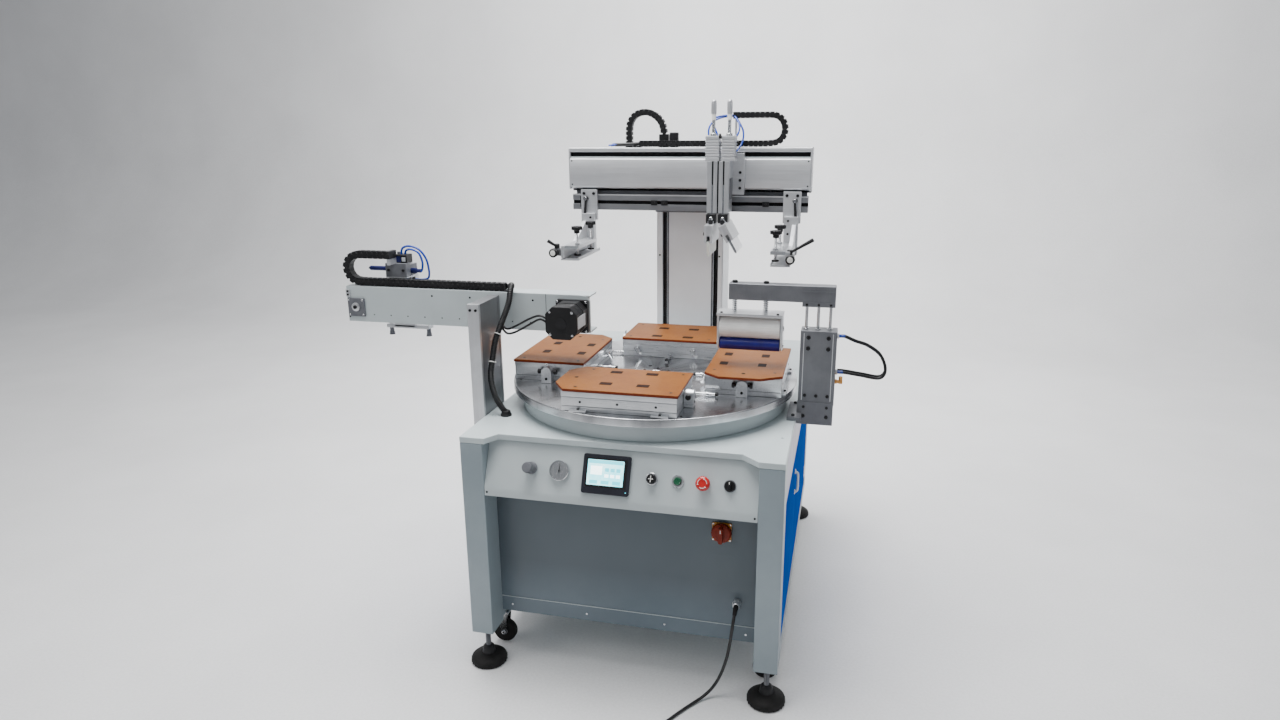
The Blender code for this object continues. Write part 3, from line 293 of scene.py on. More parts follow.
CORD = surface("cord_jacket", (0.005, 0.005, 0.006), (0.01, 0.01, 0.011), (0.38, 0.52), 20.0, 700.0,
    (1, 1, 1), 0.2, 0.0002)
LINK = surface("chain_nylon", (0.005, 0.005, 0.006), (0.011, 0.011, 0.012), (0.42, 0.58), 20.0, 700.0,
    (1, 1, 1), 0.25, 0.0002, sockets={"Specular IOR Level": 0.25})
BLUE_HOSE = surface("blue_polyurethane", (0.006, 0.055, 0.42), (0.004, 0.04, 0.32), (0.18, 0.3), 20.0, 500.0,
    (1, 1, 1), 0.05, 0.0001, sockets={"Coat Weight": 0.4, "Subsurface Weight": 0.05})
NAVY = surface("navy_anodised", (0.016, 0.02, 0.13), (0.01, 0.014, 0.09), (0.28, 0.42), 20.0, 700.0,
    (0.05, 1, 1), 0.1, 0.0001, sockets={"Metallic": 0.5})
WHITE_ROLL = surface("white_sleeve", (0.88, 0.88, 0.86), (0.82, 0.82, 0.8), (0.22, 0.36), 26.0, 300.0,
    (0.05, 1, 1), 0.1, 0.0003, (35.0, 0.1, 0.0015), {"Coat Weight": 0.35, "Coat Roughness": 0.15})
BLUE_ROLL = surface("blue_elastomer", (0.008, 0.006, 0.2), (0.006, 0.004, 0.14), (0.3, 0.42), 30.0, 500.0,
    (0.05, 1, 1), 0.08, 0.0002)
RED = surface("red_plastic", (0.55, 0.012, 0.01), (0.42, 0.009, 0.008), (0.22, 0.34), 40.0, 900.0, (1, 1, 1),
    0.08, 0.0001, sockets={"Coat Weight": 0.3})
# the isolator knob's red darkened to red-brown: painted shade, as it sits in shade
ISOLATOR_PAINTED_SHADE = surface("isolator_red_painted_shade", (0.21, 0.02, 0.006), (0.16, 0.014, 0.004), (0.34, 0.48), 40.0, 900.0,
    (1, 1, 1), 0.08, 0.0001, sockets={"Specular IOR Level": 0.2})
GREEN = surface("green_plastic", (0.004, 0.1, 0.04), (0.003, 0.07, 0.03), (0.2, 0.32), 40.0, 900.0,
    (1, 1, 1), 0.08, 0.0001, sockets={"Coat Weight": 0.3})
YELLOW = surface("yellow_plastic", (0.5, 0.2, 0.012), (0.42, 0.16, 0.01), (0.3, 0.42), 40.0, 900.0,
    (1, 1, 1), 0.08, 0.0001)
GREY_KNOB = surface("grey_plastic", (0.15, 0.155, 0.17), (0.11, 0.115, 0.13), (0.36, 0.5), 30.0, 900.0,
    (1, 1, 1), 0.2, 0.0002, sockets={"Specular IOR Level": 0.35})
IVORY = surface("ivory_plastic", (0.8, 0.8, 0.77), (0.74, 0.74, 0.71), (0.3, 0.42), 30.0, 800.0, (1, 1, 1),
    0.08, 0.0001)
DIAL = surface("dial_face", (0.56, 0.59, 0.61), (0.48, 0.51, 0.53), (0.4, 0.52), 60.0, 900.0, (1, 1, 1),
    0.05, 0.0001)
# dark fill for holes, slot backs, grooves, vents and gaps: painted shadow where the parts only have recesses
SHADOW = surface("recess_painted_shadow", (0.004, 0.004, 0.005), (0.008, 0.008, 0.009), (0.6, 0.8), 30.0, 500.0,
    (1, 1, 1), 0.1, 0.0002, sockets={"Specular IOR Level": 0.15})
URETHANE = surface("blade_urethane", (0.62, 0.62, 0.58), (0.54, 0.54, 0.5), (0.34, 0.48), 30.0, 500.0,
    (1, 0.05, 1), 0.1, 0.0002, sockets={"Subsurface Weight": 0.05})
BAKELITE = laminate("phenolic_laminate")
# pockets in the fixture plates drawn as flat dark patches: painted shade of the recesses
POCKET = surface("pocket_shade", (0.022, 0.006, 0.003), (0.012, 0.004, 0.002), (0.5, 0.65), 60.0, 700.0,
    (1, 1, 1), 0.15, 0.0002, sockets={"Specular IOR Level": 0.08})
BEZEL = surface("screen_bezel", (0.012, 0.013, 0.02), (0.018, 0.019, 0.028), (0.22, 0.34), 12.0, 900.0,
    (1, 1, 1), 0.1, 0.0001)


def glowing(name, colour, alt, strength):
    mat, tree, shader = new_material(name)
    plain, _ = object_coords(tree)
    glow = noise(tree, plain, 22.0, 2.0, 0.5)
    lit = blend_colour(tree, ramp(tree, glow, 0.35, 0.65, 0.0, 1.0), colour, alt)
    tree.links.new(lit, shader.inputs["Emission Color"])
    shader.inputs["Emission Strength"].default_value = strength
    finish_material(tree, shader, lit, 0.12, [], {"Specular IOR Level": 0.4})
    return mat


SCREEN = glowing("screen_lit", (0.55, 0.97, 1.0), (0.22, 0.8, 0.92), 2.6)
SCREEN_CYAN = glowing("screen_cyan", (0.12, 0.7, 0.82), (0.07, 0.6, 0.74), 2.0)
SCREEN_PALE = glowing("screen_white", (0.95, 1.0, 1.0), (0.8, 0.98, 1.0), 4.0)

GLASS, glass_tree, glass_shader = new_material("gauge_glass")
glass_plain, _ = object_coords(glass_tree)
smear = noise(glass_tree, glass_plain, 60.0, 3.0, 0.6)
finish_material(glass_tree, glass_shader, blend_colour(glass_tree, smear, (0.95, 0.97, 0.98),
    (1.0, 1.0, 1.0)), ramp(glass_tree, smear, 0.4, 0.7, 0.02, 0.08), [],
    {"Transmission Weight": 1.0, "IOR": 1.45, "Alpha": 0.35})


# ---------------------------------------------------------------- mesh kit
def standing(at, axis):
    """Matrix that stands a turned form on the point at, along axis."""
    turn = Vector(axis).normalized().to_track_quat("Z", "Y").to_matrix().to_4x4()
    return Matrix.Translation(at) @ turn


class Kit:
    """Collects solids, each with its own material, into one named piece."""

    def __init__(self, name, body, stands_for=(), slot=None, place=IDENTITY):
        self.name = name
        self.body = body
        self.stands_for = stands_for
        self.slot = slot
        self.place = place
        self.bm = bmesh.new()
        self.mats = []

    def take(self, bm, mat, m=None):
        if mat not in self.mats:
            self.mats.append(mat)
        index = self.mats.index(mat)
        bmesh.ops.recalc_face_normals(bm, faces=bm.faces[:])
        for face in bm.faces:
            face.material_index = index
            face.smooth = True
        whole = self.place @ (m or IDENTITY)
        bm.transform(whole)
        if whole.determinant() < 0:
            bmesh.ops.reverse_faces(bm, faces=bm.faces[:])
        mesh = bpy.data.meshes.new("scrap")
        bm.to_mesh(mesh)
        bm.free()
        self.bm.from_mesh(mesh)
        bpy.data.meshes.remove(mesh)

    def box(self, mat, x0, x1, y0, y1, z0, z1, bev=0.0008, seg=2, m=None):
        bm = bmesh.new()
        bmesh.ops.create_cube(bm, size=1.0)
        size = Vector((abs(x1 - x0), abs(y1 - y0), abs(z1 - z0)))
        bm.transform(Matrix.Translation(((x0 + x1) / 2, (y0 + y1) / 2, (z0 + z1) / 2))
            @ Matrix.Diagonal((*size, 1.0)))
        if bev:
            bmesh.ops.bevel(bm, geom=bm.edges[:], offset=min(bev, min(size) * 0.4), segments=seg,
                profile=0.5, affect="EDGES")
        self.take(bm, mat, m)
        return self

    def lathe(self, mat, profile, at=(0, 0, 0), axis=(0, 0, 1), seg=32, m=None):
        """profile is a list of (radius, height along axis)."""
        bm = bmesh.new()
        rings = []
        for r, h in profile:
            if r < 1e-6:
                rings.append([bm.verts.new((0.0, 0.0, h))])
            else:
                rings.append([bm.verts.new((r * math.cos(2 * math.pi * k / seg),
                    r * math.sin(2 * math.pi * k / seg), h)) for k in range(seg)])
        for a, b in zip(rings, rings[1:]):
            for k in range(seg):
                n = (k + 1) % seg
                corners = [a[k % len(a)], a[n % len(a)], b[n % len(b)], b[k % len(b)]]
                corners = list(dict.fromkeys(corners))
                if len(corners) > 2:
                    bm.faces.new(corners)
        for ring in (rings[0], rings[-1]):
            if len(ring) > 1:
                bm.faces.new(ring)
        self.take(bm, mat, (m or IDENTITY) @ standing(at, axis))
        return self

    def puck(self, mat, r, h0, h1, *where, **options):
        """A plain disc from h0 to h1 along its axis."""
        return self.lathe(mat, [(0, h0), (r, h0), (r, h1), (0, h1)], *where, **options)

    def ring(self, mat, r_in, r_out, h0, h1, at=(0, 0, 0), axis=(0, 0, 1), seg=32, bev=0.0006, m=None):
        bm = bmesh.new()
        outline = [(r_in + bev, h0), (r_out - bev, h0), (r_out, h0 + bev), (r_out, h1 - bev),
            (r_out - bev, h1), (r_in + bev, h1), (r_in, h1 - bev), (r_in, h0 + bev)]
        loops = [[bm.verts.new((r * math.cos(2 * math.pi * k / seg), r * math.sin(2 * math.pi * k / seg), h))
            for r, h in outline] for k in range(seg)]
        for a, b in zip(loops, loops[1:] + loops[:1]):
            for k in range(len(outline)):
                n = (k + 1) % len(outline)
                bm.faces.new((a[k], b[k], b[n], a[n]))
        self.take(bm, mat, (m or IDENTITY) @ standing(at, axis))
        return self

    def rod(self, mat, a, b, r, r2=None, bev=0.0004, seg=20, m=None):
        a, b = Vector(a), Vector(b)
        length = (b - a).length
        end = r if r2 is None else r2
        c = min(bev, r * 0.4, length * 0.3)
        return self.lathe(mat, [(0, 0), (r - c, 0), (r, c), (end, length - c), (end - c, length),
            (0, length)], a, b - a, seg, m)

    def prism(self, mat, outline, a, b, axis="z", bev=0.0008, seg=2, m=None):
        """axis x: outline holds (y, z); axis y: (x, z); axis z: (x, y)."""
        bm = bmesh.new()
        spots = {"x": lambda u, v, w: (w, u, v), "y": lambda u, v, w: (u, w, v)}
        spot = spots.get(axis, lambda u, v, w: (u, v, w))
        low = [bm.verts.new(spot(u, v, a)) for u, v in outline]
        high = [bm.verts.new(spot(u, v, b)) for u, v in outline]
        bm.faces.new(low)
        bm.faces.new(high)
        for k in range(len(outline)):
            n = (k + 1) % len(outline)
            bm.faces.new((low[k], low[n], high[n], high[k]))
        if bev:
            bmesh.ops.recalc_face_normals(bm, faces=bm.faces[:])
            edges = [e for e in bm.edges if e.calc_face_angle(0.0) > math.radians(25)]
            bmesh.ops.bevel(bm, geom=edges, offset=bev, segments=seg, profile=0.5, affect="EDGES",
                clamp_overlap=True)
        self.take(bm, mat, m)
        return self

    def tube(self, mat, points, r, seg=12, radius=None, m=None):
        """A round tube along points; radius(index) may vary it."""
        pts = [Vector(p) for p in points]
        bm = bmesh.new()
        side = None
        rings = []
        for k, p in enumerate(pts):
            ahead = (pts[min(k + 1, len(pts) - 1)] - pts[max(k - 1, 0)]).normalized()
            if side is None:
                side = ahead.orthogonal().normalized()
            side = (side - ahead * side.dot(ahead)).normalized()
            up = ahead.cross(side)
            size = radius(k) if radius else r
            rings.append([bm.verts.new(p + (side * math.cos(2 * math.pi * j / seg)
                + up * math.sin(2 * math.pi * j / seg)) * size) for j in range(seg)])
        for a, b in zip(rings, rings[1:]):
            for j in range(seg):
                n = (j + 1) % seg
                bm.faces.new((a[j], a[n], b[n], b[j]))
        bm.faces.new(rings[0])
        bm.faces.new(rings[-1])
        self.take(bm, mat, m)
        return self

    def bolt(self, mat, at, out, r=0.003, h=0.003):
        """Socket head screw whose head stands on the point at, along out."""
        profile = [(0, -0.0004), (r, -0.0004), (r, h * 0.8), (r * 0.85, h), (r * 0.55, h),
            (r * 0.5, h * 0.35), (0, h * 0.35)]
        return self.lathe(mat, profile, at, out, 18)

    def done(self):
        label = self.name + "_form" if self.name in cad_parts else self.name
        mesh = bpy.data.meshes.new(label)
        self.bm.to_mesh(mesh)
        self.bm.free()
        mesh.transform(SHIFT)
        for mat in self.mats:
            mesh.materials.append(mat)
        mesh.set_sharp_from_angle(angle=math.radians(38))
        obj = bpy.data.objects.new(label, mesh)
        bpy.context.scene.collection.objects.link(obj)
        if self.body:
            soft = obj.modifiers.new("even_normals", "WEIGHTED_NORMAL")
            soft.keep_sharp = True
            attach(obj, self.body)
        if self.stands_for:
            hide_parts(*self.stands_for)
        return obj


def piece(node, body, slot, place=IDENTITY):
    """The looks of one CAD node, which it replaces."""
    return Kit(node, body, (node,), slot, place)


def spun(share, m, axis="Z"):
    """m turned by a share of a full turn about its own axis."""
    return m @ Matrix.Rotation(2 * math.pi * share, 4, axis)


def polar(r, degrees):
    return r * math.cos(math.radians(degrees)), r * math.sin(math.radians(degrees))


def flowing(knots, step):
    """Evenly spaced points on a smooth curve through the knots."""
    pts = [Vector(k) for k in knots]
    pts = [2 * pts[0] - pts[1]] + pts + [2 * pts[-1] - pts[-2]]
    dense = []
    for i in range(1, len(pts) - 2):
        a, b, c, d = pts[i - 1:i + 3]
        for n in range(60):
            t = n / 60
            dense.append(0.5 * (2 * b + (c - a) * t + (2 * a - 5 * b + 4 * c - d) * t * t
                + (3 * b - a - 3 * c + d) * t ** 3))
    dense.append(pts[-2])
    length = sum((b - a).length for a, b in zip(dense, dense[1:]))
    count = max(2, round(length / step))
    out, walked, nxt = [dense[0]], 0.0, length / count
    for a, b in zip(dense, dense[1:]):
        gap = (b - a).length
        while gap > 0 and walked + gap >= nxt - 1e-9 and len(out) < count:
            out.append(a.lerp(b, (nxt - walked) / gap))
            nxt += length / count
        walked += gap
    out.append(dense[-1])
    return out


def stadium(cu, cv, half_u, half_v, n=8):
    """Outline of a slot shape, long in v."""
    pts = []
    for k in range(n + 1):
        a = math.pi * k / n
        pts.append((cu + half_u * math.cos(a), cv + (half_v - half_u) + half_u * math.sin(a)))
    for k in range(n + 1):
        a = math.pi + math.pi * k / n
        pts.append((cu + half_u * math.cos(a), cv - (half_v - half_u) + half_u * math.sin(a)))
    return pts


def rounded(cu, cv, hu, hv, r, n=5):
    """Outline of a rectangle with round corners."""
    pts = []
    for sx, sy, start in ((1, 1, 0), (-1, 1, 90), (-1, -1, 180), (1, -1, 270)):
        for k in range(n + 1):
            a = math.radians(start + 90 * k / n)
            pts.append((cu + sx * (hu - r) + r * math.cos(a), cv + sy * (hv - r) + r * math.sin(a)))
    return pts


# ---------------------------------------------------------------- power cord, coil and plug
CORD_R = 0.0045
gland_run = [(0.333, -0.43, 0.2826), (0.3328, -0.446, 0.278), (0.3318, -0.46, 0.267), (0.33, -0.47, 0.25),
             (0.328, -0.4745, 0.23), (0.324, -0.475, 0.195), (0.318, -0.4725, 0.155), (0.309, -0.469, 0.115),
             (0.297, -0.466, 0.077), (0.283, -0.467, 0.046), (0.267, -0.474, 0.024), (0.248, -0.489, 0.0105),
             (0.226, -0.516, 0.0062), (0.202, -0.551, 0.0052), (0.176, -0.594, 0.005), (0.14, -0.654, 0.005)]
COIL = Vector((0.052, -0.735, 0.0))
LANES = (0.0585, 0.049, 0.0395)
LEVELS = (0.0048, 0.014, 0.0232)


def coil_points():
    """Clockwise turns as seen from above: out to in on the floor, in to out on top, then one more turn."""
    stops = [(0.0, LANES[0], LEVELS[0]), (0.85, LANES[0], LEVELS[0]), (1.15, LANES[1], LEVELS[0]),
        (1.85, LANES[1], LEVELS[0]), (2.15, LANES[2], LEVELS[0]), (2.85, LANES[2], LEVELS[0]),
        (3.2, LANES[2], LEVELS[1]), (3.85, LANES[2], LEVELS[1]), (4.15, LANES[1], LEVELS[1]),
        (4.85, LANES[1], LEVELS[1]), (5.15, LANES[0], LEVELS[1]), (5.85, LANES[0], LEVELS[1]),
        (6.15, LANES[0] - 0.001, LEVELS[2]), (6.45, LANES[0] - 0.001, LEVELS[2])]
    first = math.radians(-19.5)
    points = []
    turns = stops[-1][0]
    count = int(turns * 24)
    for k in range(count + 1):
        t = turns * k / count
        for a, b in zip(stops, stops[1:]):
            if t <= b[0] + 1e-9:
                s = 0.0 if b[0] == a[0] else (t - a[0]) / (b[0] - a[0])
                s = s * s * (3 - 2 * s)
                r, z = a[1] + (b[1] - a[1]) * s, a[2] + (b[2] - a[2]) * s
                break
        angle = first - 2 * math.pi * t
        points.append(COIL + Vector((r * math.cos(angle), r * math.sin(angle), z)))
    return points


coil = coil_points()
lead_out = [(-0.0062, -0.718, 0.0226), (-0.0065, -0.708, 0.0212)]
for t in range(0, 181, 20):
    a = math.radians(t)
    lead_out.append((-0.0425 + 0.036 * math.cos(a), -0.699 + 0.036 * math.sin(a),
        0.005 + 0.0145 * max(0.0, 1 - t / 100) ** 2))
lead_out += [(-0.0785, -0.712, 0.0085), (-0.0785, -0.724, 0.013), (-0.0785, -0.734, 0.0165)]
run_in = flowing(gland_run, 0.02)[:-1] + flowing([gland_run[-1], (0.1265, -0.679, 0.005)], 0.02)[:-1]
cord_line = run_in + coil + flowing([coil[-1]] + lead_out, 0.012)[1:]
# ease the two places where the runs meet
joins = [range(len(run_in) - 3, len(run_in) + 4),
    range(len(run_in) + len(coil) - 5, len(run_in) + len(coil) + 2)]
for _ in range(4):
    cord_line = [(cord_line[i - 1] + 2 * p + cord_line[i + 1]) / 4 if any(i in j for j in joins) else p
        for i, p in enumerate(cord_line)]
shift = Vector(SHIFT.translation)
line = bpy.data.curves.new("power_cord_line", "CURVE")
line.dimensions = "3D"
line.bevel_depth = CORD_R
line.bevel_resolution = 5
line.use_fill_caps = True
spline = line.splines.new("POLY")
fine = flowing(cord_line, 0.0045)
spline.points.add(len(fine) - 1)
for point, spot in zip(spline.points, fine):
    point.co = (*(spot + shift), 1.0)
line.materials.append(CORD)
spline.use_smooth = True
cord_obj = bpy.data.objects.new("supply_cord", line)
bpy.context.scene.collection.objects.link(cord_obj)
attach(cord_obj, "base")
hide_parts("power_cord", "cord_coil")

boot = Kit("cord_boot", "base", slot="black_rubber")
boot_line = flowing([(0.333, -0.429, 0.2829)] + gland_run[1:4], 0.002)[:17]
boot.tube(RUBBER, boot_line, 0.0075, 16, lambda k: (0.0079 - 0.00014 * k) * (0.93
    if k % 3 == 2 and k < 14 else 1.0))
boot_obj = boot.done()

tie = Kit("coil_tie", "base", slot="black_plastic")
loop = [COIL + Vector((0, 1, 0)) * (0.049 + u) + Vector((0, 0, v)) for u, v in rounded(0.0, 0.0151, 0.0164,
    0.0135, 0.005, 4)]
tie.tube(PLASTIC, [*loop, loop[0], loop[1]], 0.0012, 8)
tie.box(PLASTIC, 0.0485, 0.0555, -0.6895, -0.683, 0.0275, 0.0305, 0.0006)
tie.rod(PLASTIC, (0.052, -0.684, 0.03), (0.058, -0.668, 0.0325), 0.0011)
tie_obj = tie.done()

plug = Kit("supply_plug", "base", ("power_plug",), "black_plastic")
body = [(-0.735, 0.0098, 0.0095), (-0.741, 0.0165, 0.0145), (-0.752, 0.0185, 0.0165),
    (-0.784, 0.019, 0.0168), (-0.785, 0.018, 0.016)]
for (ya, wa, ha), (yb, wb, hb) in zip(body, body[1:]):
    bm = bmesh.new()
    rings = []
    for y, w, h in ((ya, wa, ha), (yb, wb, hb)):
        rings.append([bm.verts.new((-0.0785 + u, y, 0.0168 + v)) for u, v in rounded(0, 0, w, h,
            min(w, h) * 0.45, 5)])
    for k in range(len(rings[0])):
        n = (k + 1) % len(rings[0])
        bm.faces.new((rings[0][k], rings[0][n], rings[1][n], rings[1][k]))
    bm.faces.new(rings[0])
    bm.faces.new(rings[1])
    plug.take(bm, PLASTIC)
for k in range(6):
    plug.box(PLASTIC, -0.0785 - 0.0196, -0.0785 + 0.0196, -0.758 - 0.004 * k, -0.7565 - 0.004 * k, 0.0085,
        0.025, 0.0006)
plug.tube(RUBBER, [(-0.0785, -0.718 - 0.001 * k, 0.0148 + 0.00014 * k) for k in range(19)], 0.006, 14,
          lambda k: (0.0055 + 0.00018 * k) * (0.9 if k % 3 == 1 else 1.0))
for x, z, w, h in ((0.0, 0.025, 0.002, 0.0039), (-0.009, 0.0115, 0.0032, 0.002),
    (0.009, 0.0115, 0.0032, 0.002)):
    plug.box(BRASS, -0.0785 + x - w, -0.0785 + x + w, -0.8025, -0.784, z - h, z + h, 0.0006)
plug_obj = plug.done()


# ---------------------------------------------------------------- base: side frames and feet
CASTER_Y = (("front", -0.345), ("rear", 0.69))
FOOT_Y = (("front", -0.449), ("rear", 0.7975))


def side_frame_looks(name, s):
    looks = piece(name, "base", "white_enamel")
    a, b = (0.46, 0.392) if s > 0 else (-0.46, -0.392)
    x0, x1 = min(a, b), max(a, b)
    # legs, sill, foot plates and left upper rail in the darker copy of the white enamel: painted shade
    looks.box(FRAME_PAINTED_SHADE, x0, x1, -0.4907, -0.406, 0.1203, 0.7349, 0.0025, 3)
    looks.box(FRAME_PAINTED_SHADE, x0, x1, 0.7553, 0.8397, 0.1203, 0.7349, 0.0025, 3)
    u0, u1 = sorted((s * 0.46, s * 0.415))
    # the right upper rail in the lavender-grey copy of the white enamel: painted shade
    looks.box(RAIL_PAINTED_SHADE if s > 0 else FRAME_PAINTED_SHADE, u0, u1, -0.4055, 0.755, 0.6003, 0.7349, 0.003, 3)
    u0, u1 = sorted((s * 0.46, s * 0.4))
    looks.box(FRAME_PAINTED_SHADE, u0, u1, -0.4055, 0.755, 0.1208, 0.1597, 0.003, 3)
    for _, y in FOOT_Y:
        looks.box(FRAME_PAINTED_SHADE, s * 0.428 - 0.026, s * 0.428 + 0.026, y - 0.026, y + 0.026, 0.119, 0.124, 0.0008)
        looks.lathe(STEEL, [(0.01, 0.119), (0.015, 0.119), (0.015, 0.1205)], (s * 0.428, y, 0), seg=24)
    # caster forks
    for _, y in CASTER_Y:
        looks.box(STEEL, s * 0.415 - 0.022, s * 0.415 + 0.022, y - 0.022, y + 0.022, 0.1155, 0.12, 0.001)
        looks.lathe(STEEL, [(0, 0.1085), (0.0175, 0.1085), (0.0195, 0.111), (0.0195, 0.114),
            (0.0165, 0.1158), (0, 0.1158)], (s * 0.415, y, 0), seg=28)
        for side in (-1, 1):
            cheek = [(s * 0.415 - 0.015, 0.1085), (s * 0.415 + 0.015, 0.1085), (s * 0.415 + 0.009, 0.046),
                (s * 0.415 + 0.006, 0.0375), (s * 0.415 - 0.006, 0.0375), (s * 0.415 - 0.009, 0.046)]
            y0, y1 = sorted((y + side * 0.015, y + side * 0.018))
            looks.prism(STEEL, cheek, y0, y1, "y", 0.0005)
            looks.lathe(STEEL, [(0, 0), (0.0065, 0), (0.0065, 0.003), (0.005, 0.004), (0, 0.004)],
                (s * 0.415, y + side * 0.018, 0.0445), (0, side, 0), 6)
        looks.box(STEEL, s * 0.415 - 0.015, s * 0.415 + 0.015, y - 0.018, y + 0.018, 0.1062, 0.1095, 0.0008)
        looks.rod(STEEL, (s * 0.415, y - 0.015, 0.0445), (s * 0.415, y + 0.015, 0.0445), 0.0045)
    if s > 0:
        for z in (0.225, 0.535):
            looks.rod(STEEL, (0.4585, 0.754, z - 0.025), (0.4585, 0.754, z + 0.025), 0.0045, seg=16)
            looks.box(STEEL, 0.456, 0.46, 0.7555, 0.78, z - 0.024, z + 0.024, 0.0006)
            for dz in (-0.015, 0.015):
                looks.bolt(STEEL, (0.4595, 0.769, z + dz), RIGHTWARD, 0.0034, 0.0015)
    return looks.done()


side_frame_looks("side_frame_left", -1)
side_frame_looks("side_frame_right", 1)

for end, y in FOOT_Y:
    for side, x in (("left", -0.428), ("right", 0.428)):
        foot = piece(f"foot_{end}_{side}", f"foot_{end}_{side}", "black_rubber")
        spot = (x, y, 0)
        foot.lathe(GUNMETAL, [(0, 0.119), (0.0075, 0.119)] + [(0.008 - 0.0007 * (j % 2), 0.1185 - 0.0009 * j)
            for j in range(72)] + [(0.0075, 0.052), (0, 0.052)], spot, seg=20)
        foot.lathe(BLACKENED, [(0, 0.1185), (0.014, 0.1185), (0.0155, 0.1165), (0.0155, 0.1065),
            (0.014, 0.1045), (0, 0.1045)], spot, seg=6)
        foot.lathe(BLACKENED, [(0, 0.057), (0.012, 0.057), (0.0165, 0.053), (0.018, 0.046), (0.02, 0.034),
            (0.0215, 0.031)], spot, seg=36)
        foot.lathe(RUBBER, [(0, 0.0335), (0.0225, 0.033), (0.035, 0.0285), (0.047, 0.024), (0.053, 0.019),
            (0.055, 0.014), (0.0545, 0.006), (0.052, 0.0015), (0.05, 0.0002), (0, 0.0002)], spot, seg=48)
        for j in range(24):
            foot.box(RUBBER, 0.047, 0.056, -0.0016, 0.0016, 0.003, 0.016, 0.0008,
                m=spun(j / 24, Matrix.Translation((x, y, 0))) @ Matrix.Translation((-0.0006, 0, 0)))
        foot.done()

for end, y in CASTER_Y:
    for side, x in (("left", -0.415), ("right", 0.415)):
        wheel = Kit(f"caster_{end}_{side}", f"caster_{end}_{side}", (f"caster_wheel_{end}_{side}",),
            "black_rubber")
        at = (x, y, 0.0445)
        wheel.lathe(RUBBER, [(0.026, -0.012), (0.033, -0.012), (0.0362, -0.0105), (0.0375, -0.007),
            (0.0375, 0.007), (0.0362, 0.0105), (0.033, 0.012), (0.026, 0.012)], at, BACK, 40)
        wheel.lathe(GREY_KNOB, [(0.0056, -0.013), (0.0105, -0.013), (0.012, -0.01), (0.02, -0.0085),
            (0.0235, -0.0105), (0.0265, -0.0112), (0.0265, 0.0112), (0.0235, 0.0105), (0.02, 0.0085),
            (0.012, 0.01), (0.0105, 0.013), (0.0056, 0.013)], at, BACK, 36)
        for j in range(6):
            for ys in (-0.0091, 0.0091):
                wheel.box(GREY_KNOB, -0.0018, 0.0018, ys - 0.0012, ys + 0.0012, 0.0105, 0.024, 0.0005,
                    m=spun(j / 6, Matrix.Translation(at), "Y"))
        wheel.done()

# ---------------------------------------------------------------- base: table, panels, door
top = piece("table_top", "base", "white_enamel")
top.prism(WHITE, [(-0.46, -0.4907), (-0.385, -0.4907), (-0.36, -0.445), (0.343, -0.445), (0.39, -0.4907),
    (0.46, -0.4907), (0.46, 0.84), (-0.46, 0.84)], 0.735, 0.753, "z", 0.0022, 3)
for x in (-0.435, 0.435):
    for y in (-0.3, 0.2, 0.6):
        top.bolt(WHITE, (x, y, 0.753), UP, 0.0048, 0.0018)
top.done()

LEAN = math.radians(24)
panel = piece("control_panel", "base", "white_enamel")
slope_top_y = -0.491 + math.sin(LEAN) * ((0.7347 - 0.606) / math.cos(LEAN))
panel.prism(PANEL, [(-0.49, 0.578), (-0.4063, 0.578), (-0.4063, 0.7347), (slope_top_y, 0.7347),
    (-0.49, 0.606)], -0.3917, 0.3917, "x", 0.0015, 2)


CONTROL_UP, SEAT_OUT = 0.0655, 0.0009


def out_of_panel(x):
    """Matrix whose z axis leaves the panel face at x and y axis climbs it."""
    lean_up = Vector((0, math.sin(LEAN), math.cos(LEAN)))
    normal = Vector((0, -math.cos(LEAN), math.sin(LEAN)))
    m = Matrix((Vector(RIGHTWARD), lean_up, normal)).transposed().to_4x4()
    m.translation = Vector((x, -0.491, 0.606)) + lean_up * CONTROL_UP + normal * SEAT_OUT
    return m


REGULATOR_X, GAUGE_X, SCREEN_X, SPEED_X = -0.2527, -0.169, -0.0322, 0.0973
START_X, STOP_X, SELECTOR_X = 0.17, 0.242, 0.3127
SEATS = ((REGULATOR_X, BLACKENED, 0.0008), (GAUGE_X, BLACKENED, 0.0008), (SPEED_X, GREY_KNOB, 0.0008),
         (START_X, CHROME, 0.0042), (STOP_X, BLACKENED, 0.0056), (SELECTOR_X, GREY_KNOB, 0.0008))
for x, mat, rise in SEATS:
    panel.ring(mat, 0.0116, 0.0168, -0.0008, rise, m=out_of_panel(x))
g = out_of_panel(GAUGE_X)
panel.lathe(STEEL, [(0.0255, -0.001), (0.029, -0.001), (0.029, 0.0095), (0.0275, 0.0112), (0.0255, 0.0112),
    (0.025, 0.0065)], m=g, seg=44)
panel.puck(DIAL, 0.0256, 0.0, 0.0062, m=g, seg=40)
for j in range(28):
    start_r, half = (0.019, 0.0006) if j % 3 == 0 else (0.0205, 0.0003)
    panel.box(PLASTIC, start_r, 0.0228, -half, half, 0.0061, 0.00645, 0,
        m=g @ Matrix.Rotation(math.radians(-225 + 270 * j / 27), 4, "Z"))
panel.puck(GLASS, 0.0252, 0.0096, 0.0104, m=g, seg=40)
# painted shadow: a dark strip under the table top's front edge
panel.box(SLATE_PAINTED_SHADE, -0.391, 0.391, -0.423, -0.415, 0.7325, 0.7346, 0.0)
for x in (-0.384, 0.384):
    panel.bolt(PLASTIC, (x, -0.4905, 0.59), FRONT, 0.003, 0.0012)
panel.done()

